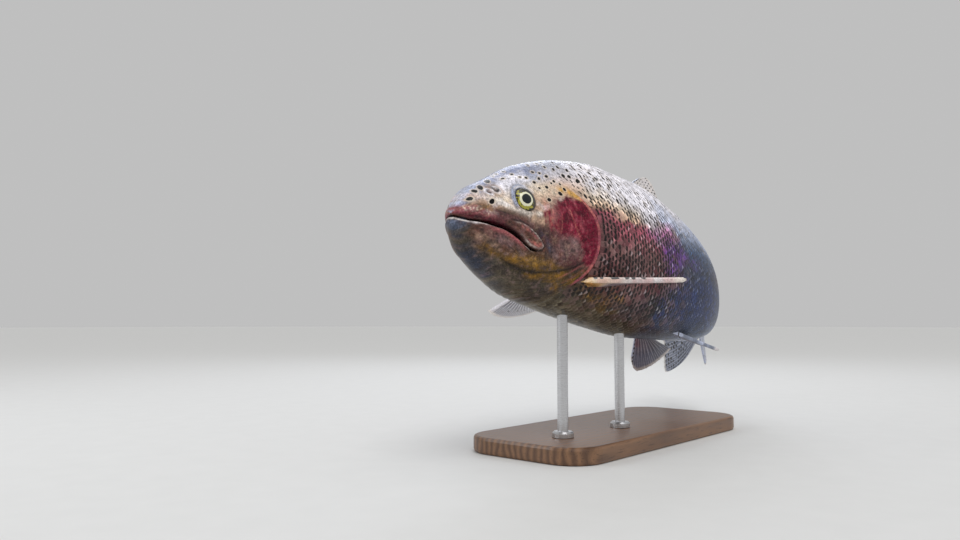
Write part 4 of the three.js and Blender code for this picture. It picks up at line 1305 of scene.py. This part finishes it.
def irisMaterial():
    made, tree, shader = newMaterial("iris and pupil")
    out = node(tree, "ShaderNodeAttribute", attribute_name="fromPupil").outputs["Fac"]
    shadow = node(tree, "ShaderNodeAttribute", attribute_name="shadow").outputs["Fac"]
    where = node(tree, "ShaderNodeTexCoord").outputs["Object"]
    wobble = sums(tree, "ADD", out, between(tree, noise(tree, where, 420.0), .3, .7, -.3, .3, "LINEAR"))
    blotch = between(tree, noise(tree, where, 380.0, 3.0, .6), .34, .66, .22, .78, "LINEAR")
    dim = sums(tree, "ADD", blotch, shadow)
    gold = mixColour(tree, between(tree, dim, .30, .56), irisPlan["gold"], rgba("moss"))
    gold = mixColour(tree, between(tree, dim, .58, .86), gold, rgba("ink"))
    ring = mixColour(tree, between(tree, wobble, 5.7, 6.1), irisPlan["ring"], gold)
    eye = mixColour(tree, between(tree, wobble, 3.95, 4.25), irisPlan["pupil"], ring)
    tree.links.new(eye, shader.inputs["Base Color"])
    addBump(tree, shader, noise(tree, where, 600.0, 4.0, .7), .3, .0002)
    setAll(shader, irisPlan["gloss"])
    return made


def makeEye(name, side, finish):
    seat, outwards, forward, upwards = eyeSeat(side)
    middle = seat - outwards * eyePlan["sunk"]
    bpy.ops.mesh.primitive_uv_sphere_add(segments=eyePlan["segments"], ring_count=eyePlan["rings"],
                                         radius=1)
    ball = bpy.context.object
    ball.name = name
    ball.data.name = name
    co = np.array([v.co for v in ball.data.vertices])
    local = (co[:, :1] * forward * eyePlan["radius"] + co[:, 1:2] * upwards * side * eyePlan["radius"]
             + co[:, 2:] * outwards * eyePlan["bulge"])
    ball.data.vertices.foreach_set("co", toWorld(middle + local).astype(np.float32).ravel())
    ball.data.update()
    x = co[:, 0] * eyePlan["radius"]
    y = co[:, 1] * eyePlan["radius"] * side
    pupilX, pupilY = eyePlan["pupil"]
    far = np.hypot(x - pupilX, y - pupilY)
    keep(ball, "fromPupil", np.where(co[:, 2] > 0, far, eyePlan["behind"]))
    # the iris is darker to the rear and above, and under the lids
    midX, midY = eyePlan["opening"][:2]
    shadow = smooth(-.35, .45, (-.75 * x + .65 * y) / 10) + smooth(8.4, 10.0,
                                                                   np.hypot(x - midX, y - midY))
    keep(ball, "shadow", .62 * np.clip(shadow, 0, 1) - .12)
    bpy.ops.object.shade_smooth()
    ball.data.materials.append(finish)
    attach(ball, "root")
    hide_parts("eye_left" if side == 1 else "eye_right")
    ball.select_set(False)


eyeFinish = irisMaterial()
makeEye("trout_eye_left", 1, eyeFinish)
makeEye("trout_eye_right", -1, eyeFinish)
print("eyes are set")

# The fins. A start and an end are a place along the body and a height angle.
finPlans = [
    {"name": "dorsal_fin", "start": (.462, 90), "end": (.56, 90), "length": 62, "form": "sail",
     "thick": (2.4, .8), "front": (.877, -.137, .477), "rear": (.686, -.21, .478), "bulge": (0, 0, .09),
     "rays": 13},
    {"name": "adipose_fin", "start": (.845, 90), "end": (.872, 90), "length": 21, "form": "lobe",
     "thick": (3.4, 1.8), "front": (.8, 0, .6), "rear": (.97, 0, .25), "rays": 0},
    {"name": "anal_fin", "start": (.735, -90), "end": (.825, -90), "length": 58, "form": "raked",
     "thick": (2.4, .8), "front": (.84, -.1, -.52), "rear": (.96, -.05, -.24), "rays": 12},
    {"name": "tail_fin", "start": (.995, 88), "end": (.995, -88), "length": 102.2, "form": "forked",
     "thick": (4, .9), "front": (.85, -.35, .4), "rear": (.85, -.35, -.4), "bulge": (-.02, -.1, 0),
     "bow": 9, "rays": 20},
    {"name": "pectoral_fin_left", "side": 1, "start": (.229, -38), "end": (.249, -42), "length": 85,
     "form": "paired", "thick": (3.2, .8), "spar": 4.6, "lead": (.22, .1), "front": (.664, .746, -.045),
     "rear": (.96, .25, .15), "rays": 13, "dots": 8},
    {"name": "pectoral_fin_right", "side": -1, "start": (.229, -35), "end": (.249, -43), "length": 79.5,
     "form": "fan", "thick": (3.2, .8), "spar": 2.6, "front": (.484, .951, -.033),
     "rear": (.809, .426, .055), "bulge": (0, 0, -.072), "rays": 13,
     "marks": [(.3, .70), (.49, .66), (.67, .65)]},
    {"name": "pelvic_fin_left", "side": 1, "start": (.535, -69), "end": (.56, -76), "length": 63,
     "form": "paired", "thick": (2.8, .8), "spar": 3.6, "front": (.924, .281, -.259),
     "rear": (.985, .03, -.12), "rays": 10},
    {"name": "pelvic_fin_right", "side": -1, "start": (.515, -63), "end": (.545, -78), "length": 61.5,
     "form": "paddle", "thick": (2.8, .8), "spar": 2.4, "front": (.727, .654, -.547),
     "rear": (.83, .081, -.112), "bulge": (0, 0, -.053), "rays": 10, "dots": 9},
]
finForms = {
    "raked": lambda t: .86 + .14 * np.sin(np.minimum(1, 3.2 * t) * np.pi / 2) - .56 * t ** 1.3,
    "paired": lambda t: .93 + .07 * np.sin(np.minimum(1, 6 * t) * np.pi / 2) - .52 * t ** 1.5,
    "sail": lambda t: .72 + .28 * np.sin(np.minimum(1, 3 * t) * np.pi / 2) - .39 * t ** 1.86,
    "fan": lambda t: .92 + .08 * np.sin(np.minimum(1, 5 * t) * np.pi / 2) - .22 * t ** 1.3,
    "paddle": lambda t: .61 + .39 * np.sin(np.minimum(1, 5 * t) * np.pi / 2) - .34 * t ** 1.88,
    "forked": lambda t: .7 + .3 * np.abs(2 * t - 1) ** 1.8 - .16 * np.abs(2 * t - 1) ** 16,
    "lobe": lambda t: .6 + .4 * np.sin(t * np.pi),
}
finCoats = {
    "dorsal_fin": lambda tt, oo, mottle: (("snow", .95), ("cream", .3 * smooth(-.3, .6, mottle))),
    "adipose_fin": lambda tt, oo, mottle: (("steel", .5),),
    "anal_fin": lambda tt, oo, mottle: (("ice", .6),),
    "tail_fin": lambda tt, oo, mottle: (("ash", .4), ("steel", .3 * smooth(-.3, .8, mottle))),
    "pectoral_fin_left": lambda tt, oo, mottle: (
        ("pearl", .6),
        ("peach", .5 * smooth(.6, .1, oo)),
        ("amber", .95 * smooth(.42, .12, oo) * smooth(.02, .12, tt)),
        # painted shade on the fin's membrane
        ("maroon", .85 * smooth(.24, .4, oo) * smooth(.1, .25, tt))),
    "pectoral_fin_right": lambda tt, oo, mottle: (("pearl", .75), ("dusk",
                                                                   .35 * smooth(-.2, .9, mottle))),
    "pelvic_fin_left": lambda tt, oo, mottle: (("lavender", .8), ("storm", .8 * smooth(-.1, .5, mottle))),
    "pelvic_fin_right": lambda tt, oo, mottle: (
        ("lavender", .6),
        ("dusk", .45 * smooth(.7, .3, oo)),
        ("rose", .55 * smooth(.65, .3, oo) * smooth(.34, .18, tt) * smooth(-.5, .5, mottle)),
        ("lavender", .7 * smooth(.5, .8, oo) * smooth(.6, .4, tt)),
        # painted shade on the rear of the fin
        ("storm", .6 * smooth(.45, .7, tt))),
}


finGrid = {
    "steps": 30,  # along a ray
    "perRay": 8,  # steps from one ray to the next
    "fewest": 24,
    "rootDepth": 7,  # a fin starts this far inside the body
    "dotStep": 6.4,
}


def makeFin(plan):
    side = plan.get("side", 1)
    rays = plan["rays"]
    across = max(finGrid["fewest"], rays * finGrid["perRay"])
    steps = finGrid["steps"]
    t = np.linspace(0, 1, across + 1)
    out = np.linspace(0, 1, steps + 1)
    tt, oo = np.meshgrid(t, out, indexing="ij")
    at = plan["start"][0] + (plan["end"][0] - plan["start"][0]) * t
    angle = plan["start"][1] + (plan["end"][1] - plan["start"][1]) * t
    angle = angle if side == 1 else 180 - angle
    root = bodyPoint(at, angle)
    if plan["form"] == "forked":
        root = inFish(at, 0, bodySection(at, angle)[1])  # from the middle of the body's end
    arch = np.sin(np.pi * t)
    bulge = plan.get("bulge", (0, 0, 0))
    ways = zip(plan["front"], plan["rear"], bulge)
    mixed = [front + (rear - front) * t + swell * arch for front, rear, swell in ways]
    ray = unit(turned(at, mixed[0], mixed[1] * side, mixed[2]))
    length = plan["length"] * finForms[plan["form"]](t)
    fray = 1 - .018 * np.abs(np.sin(np.pi * rays * t)) ** .5 if rays else np.ones(len(t))
    reach = oo * (length * fray + finGrid["rootDepth"])[:, None] - finGrid["rootDepth"]
    middle = root[:, None, :] + ray[:, None, :] * reach[..., None]
    middle[..., 2] += plan.get("bow", 0) * (1 - 2 * tt) * np.sin(np.pi * oo)
    # rays split in two past the middle of the fin
    if rays:
        single = np.abs(np.cos(np.pi * rays * tt)) ** 3
        double = np.abs(np.cos(2 * np.pi * rays * tt)) ** 2
        split = smooth(.45, .75, oo)
        ridge = single + (double - single) * split
    else:
        ridge = np.full(tt.shape, .6)
    alongRoot = np.gradient(middle, axis=0)
    alongRay = np.gradient(middle, axis=1)
    normal = unit(np.cross(alongRoot, alongRay))
    half = (plan["thick"][0] + (plan["thick"][1] - plan["thick"][0]) * oo) / 2
    half = half * (.58 + .42 * ridge)
    lead = smooth(*plan.get("lead", (.085, .02)), tt)
    half = half + (plan.get("spar", plan["thick"][0]) * (.55 - .09 * oo) - half) * lead
    edge = np.minimum(1, (np.minimum(np.minimum(tt, 1 - tt) * across / 1.2, (1 - oo) * steps / 1.2)))
    half = half * (.35 + .65 * np.sqrt(np.clip(edge, 0, 1)))
    ripple = .5 * np.sin(7 * tt + 3 * oo) * oo
    top = middle + normal * (half + ripple)[..., None]
    under = middle - normal * (half - ripple)[..., None]
    points = np.concatenate([top.reshape(-1, 3), under.reshape(-1, 3)])
    columns = steps + 1
    offset = (across + 1) * columns
    i, j = np.meshgrid(np.arange(across), np.arange(steps), indexing="ij")
    a = i * columns + j
    quad = np.stack([a, a + columns, a + columns + 1, a + 1], -1).reshape(-1, 4)
    rimWalk = np.concatenate([
        np.arange(steps + 1), (np.arange(1, across + 1)) * columns + steps,
        across * columns + np.arange(steps - 1, -1, -1), np.arange(across - 1, 0, -1) * columns])
    follow = np.roll(rimWalk, -1)
    wall = np.stack([rimWalk, follow, follow + offset, rimWalk + offset], -1)
    faces = np.concatenate([quad, quad[:, ::-1] + offset, wall])
    # the faces look outwards when the volume they enclose is positive
    a, b, c, d = (points[faces[:, k]] for k in range(4))
    volume = (a * np.cross(b, c)).sum() + (a * np.cross(c, d)).sum()
    if volume < 0:
        faces = faces[:, ::-1]
    fin = meshPiece("trout_" + plan["name"], toWorld(points), [faces])
    colour, field, edgeDots = finPaint(plan, tt, oo, ridge, length)
    above = [np.maximum(field, edgeDots), field]
    topHeight, underHeight = (toWorld(sheet[:1].reshape(-1, 3))[:, 2].mean() for sheet in (top, under))
    if topHeight < underHeight:
        above = above[::-1]
    if plan["name"].startswith("pelvic"):
        above = [np.maximum(field, edgeDots)] * 2
    keep(fin, "paint", np.concatenate([colour, colour]))
    keep(fin, "spot", np.concatenate(above))
    fin.data.materials.append(finMaterial)
    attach(fin, "root")
    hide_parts(plan["name"])
    return fin


def finPaint(plan, tt, oo, ridge, length):
    tt, oo, ridge = tt.ravel(), oo.ravel(), ridge.ravel()
    colour = np.repeat(swatch("fog")[None], len(tt), 0)
    rays = plan["rays"]
    span = np.interp(tt, np.linspace(0, 1, len(length)), length)
    mottle = cloud(oo * span / 6, tt * 9, 3, 91)

    def lay(name, strength):
        nonlocal colour
        colour = tinted(colour, name, np.clip(strength + 0 * tt, 0, 1))

    name = plan["name"]
    nearPectoral = name == "pectoral_fin_left"
    for coat, strength in finCoats[name](tt, oo, mottle):
        lay(coat, strength)
    pale = {"dorsal_fin": .22, "pectoral_fin_right": .8}.get(name, .5)
    lay("storm", pale * smooth(.75, .2, ridge) * (1 - .8 * nearPectoral))
    lay("pearl", .3 * smooth(.6, 1, ridge) * (1 - .8 * nearPectoral))
    spar = smooth(.085, .05, tt) * (rays > 0)
    lay({"pectoral_fin_left": "cream", "pectoral_fin_right": "frost"}.get(name, "ice"), .95 * spar)
    lay("pearl", .8 * spar * smooth(.2, .6, oo) * nearPectoral)
    lay("lead", .7 * spar * smooth(.0, .6, mottle) * (name == "pelvic_fin_left"))
    lay("salmon", .35 * spar * smooth(.0, .8, mottle) * nearPectoral)
    lay("amber", .8 * spar * smooth(.2, .1, oo) * nearPectoral)
    rim = (.88, .95) if name.startswith("pe") else (.95, .985)
    lay("snow" if name.startswith("pel") else "pale", .85 * smooth(*rim, oo) * (rays > 0))
    # dots between the rays, in rows
    field = np.full(len(tt), spotPlan["none"])
    chance = {"dorsal_fin": .85, "tail_fin": .8, "anal_fin": .12}.get(name, 0)
    columns = {"tail_fin": 22, "dorsal_fin": 9}.get(name, rays)
    step = finGrid["dotStep"]
    for i in range(columns if chance else 0):
        across = (i + .5) / columns
        for k in range(int(plan["length"] / step)):
            picked = random.random() < chance
            place = (k + .7 + .5 * (i % 2) + random.uniform(-.1, .1)) * step
            r = random.uniform(1.3, 1.7)
            aside = random.uniform(-.1, .1) / columns
            if not picked or place > span[np.abs(tt - across).argmin()] * .97:
                continue
            dx = oo * span - place
            dy = (tt - across - aside) * span * 1.1
            field = np.maximum(field, (1 - np.hypot(dx / (1.15 * r), dy / r)) * r)
    # a row of small marks down the leading ray, and a few single ones
    edgeDots = np.full(len(tt), spotPlan["none"])
    for k in range(plan.get("dots", 0)):
        place = 7 + 6.0 * k + random.uniform(-1.2, 1.2)
        r = random.uniform(.45, .9) * float(smooth(62, 36, place)) + .12
        middle = .055 if name.startswith("pelvic") else .01
        away = np.hypot((oo * span - place) / 1.5, (tt - middle) * 40)
        edgeDots = np.maximum(edgeDots, (1 - away) * r * 1.2)
    for across, out in plan.get("marks", []):
        dx = (oo - out) * span
        dy = (tt - across) * span * .8
        field = np.maximum(field, (1 - np.hypot(dx / 2.0, dy / 1.3)) * 1.3)
    if name == "pelvic_fin_left":
        field = np.maximum(field, .8 - np.abs(oo * span - 9.5))
    return colour, field, edgeDots


for plan in finPlans:
    fin = makeFin(plan)
    print(fin.name, len(fin.data.polygons), "faces")

# The stand keeps its own solids and gets their finishes.
standPlan = {
    "darkWood": (.105, .048, .022, 1),
    "lightWood": (.235, .118, .056, 1),
    "pore": (.05, .022, .012, 1),
    "darkSteel": (.50, .50, .52, 1),
    "lightSteel": (.70, .70, .71, 1),
}


def woodMaterial():
    made, tree, shader = newMaterial("walnut")
    where = node(tree, "ShaderNodeTexCoord").outputs["Object"]
    rings = node(tree, "ShaderNodeTexWave", wave_type="BANDS", bands_direction="Y", into={
        "Vector": stretched(tree, where, (9.0, 90.0, 60.0)), "Scale": .55, "Distortion": 5.0,
        "Detail": 3.0, "Detail Scale": 1.4}).outputs["Fac"]
    pores = noise(tree, stretched(tree, where, (60.0, 1500.0, 900.0)), 1.0, 3.0, .6)
    tone = mixColour(tree, rings, standPlan["darkWood"], standPlan["lightWood"])
    tone = mixColour(tree, between(tree, pores, .56, .7), tone, standPlan["pore"])
    tree.links.new(tone, shader.inputs["Base Color"])
    tree.links.new(between(tree, rings, 0, 1, .38, .5, "LINEAR"), shader.inputs["Roughness"])
    addBump(tree, shader, pores, .25, .0002)
    setAll(shader, {"Coat Weight": .25, "Coat Roughness": .25})
    return made


def steelMaterial():
    made, tree, shader = newMaterial("brushed steel")
    where = node(tree, "ShaderNodeTexCoord").outputs["Object"]
    brushed = noise(tree, stretched(tree, where, (200.0, 200.0, 5200.0)), 1.0, 2.0, .5)
    tone = mixColour(tree, brushed, standPlan["darkSteel"], standPlan["lightSteel"])
    tree.links.new(tone, shader.inputs["Base Color"])
    tree.links.new(between(tree, brushed, .3, .7, .24, .38, "LINEAR"), shader.inputs["Roughness"])
    addBump(tree, shader, brushed, .12, .0001)
    setAll(shader, {"Metallic": 1.0})
    return made


wood = woodMaterial()
steel = steelMaterial()
for name, finish in (("stand_base", wood), ("stand_rod_front", steel), ("stand_rod_rear", steel)):
    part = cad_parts[name]
    part.data.materials.clear()
    part.data.materials.append(finish)
print("stand is finished")

# The floor, the light and the camera.
studio = {
    "floorRadius": 14,
    "floorTones": ((.68, .68, .67, 1), (.72, .72, .71, 1)),
    "worldTone": (.87, .87, .87, 1),
    "worldStrength": .60,
    "sunFrom": (-.45, -.75, 1.5),
    "sunPower": .95,
    "sunSpread": 32,
    "lamps": [  # name, place, target, size, power, tone
        ("overhead", (-.15, -.25, 1.9), (-.05, 0, .18), 1.5, 6, (1, 1, 1)),
        ("rim", (.8, .7, 1.1), (0, 0, .18), .7, 4, (.86, .90, 1.0)),
        ("front rim", (-1.15, .75, .55), (-.22, 0, .2), .4, 2.5, (.92, .96, 1.0)),
    ],
}
cameraPlan = {
    "place": (-.62995, -.38490, .111),
    "turn": 48.6,
    "tilt": 3.8,
    "lens": 28.5,
    "nearest": .01,
    "farthest": 60,
}


def makeFloor():
    bpy.ops.mesh.primitive_circle_add(vertices=96, radius=studio["floorRadius"], fill_type="NGON",
                                      location=(0, 0, 0))
    floor = bpy.context.object
    floor.name = "studio_floor"
    made, tree, shader = newMaterial("pale floor")
    where = node(tree, "ShaderNodeTexCoord").outputs["Object"]
    tone = mixColour(tree, noise(tree, where, 40.0, 3.0, .5), *studio["floorTones"])
    tree.links.new(tone, shader.inputs["Base Color"])
    setAll(shader, {"Roughness": .7})
    floor.data.materials.append(made)
    floor.select_set(False)


def makeWorld():
    world = bpy.data.worlds.new("studio")
    bpy.context.scene.world = world
    world.use_nodes = True
    sky = world.node_tree.nodes["Background"]
    sky.inputs["Color"].default_value = studio["worldTone"]
    sky.inputs["Strength"].default_value = studio["worldStrength"]


def placeHolder(name, data, look):
    holder = bpy.data.objects.new(name, data)
    bpy.context.collection.objects.link(holder)
    holder.rotation_euler = look.to_track_quat("-Z", "Y").to_euler()
    return holder


def makeSun():
    lamp = bpy.data.lights.new("sun", "SUN")
    lamp.energy = studio["sunPower"]
    lamp.angle = math.radians(studio["sunSpread"])
    placeHolder("sun", lamp, -Vector(studio["sunFrom"]))


def makeLamp(name, place, target, size, power, tone):
    lamp = bpy.data.lights.new(name, "AREA")
    lamp.shape = "DISK"
    lamp.size = size
    lamp.energy = power
    lamp.color = tone
    placeHolder(name, lamp, Vector(target) - Vector(place)).location = place


def makeCamera():
    lens = bpy.data.cameras.new("camera")
    lens.lens = cameraPlan["lens"]
    lens.sensor_width = 36
    lens.clip_start = cameraPlan["nearest"]
    lens.clip_end = cameraPlan["farthest"]
    turn = math.radians(cameraPlan["turn"])
    tilt = math.radians(cameraPlan["tilt"])
    look = Vector((math.sin(turn) * math.cos(tilt), math.cos(turn) * math.cos(tilt), math.sin(tilt)))
    camera = placeHolder("camera", lens, look)
    camera.location = cameraPlan["place"]
    bpy.context.scene.camera = camera


makeFloor()
makeWorld()
makeSun()
for lamp in studio["lamps"]:
    makeLamp(*lamp)
makeCamera()
bpy.context.scene.view_settings.view_transform = "Standard"
print("studio is lit")
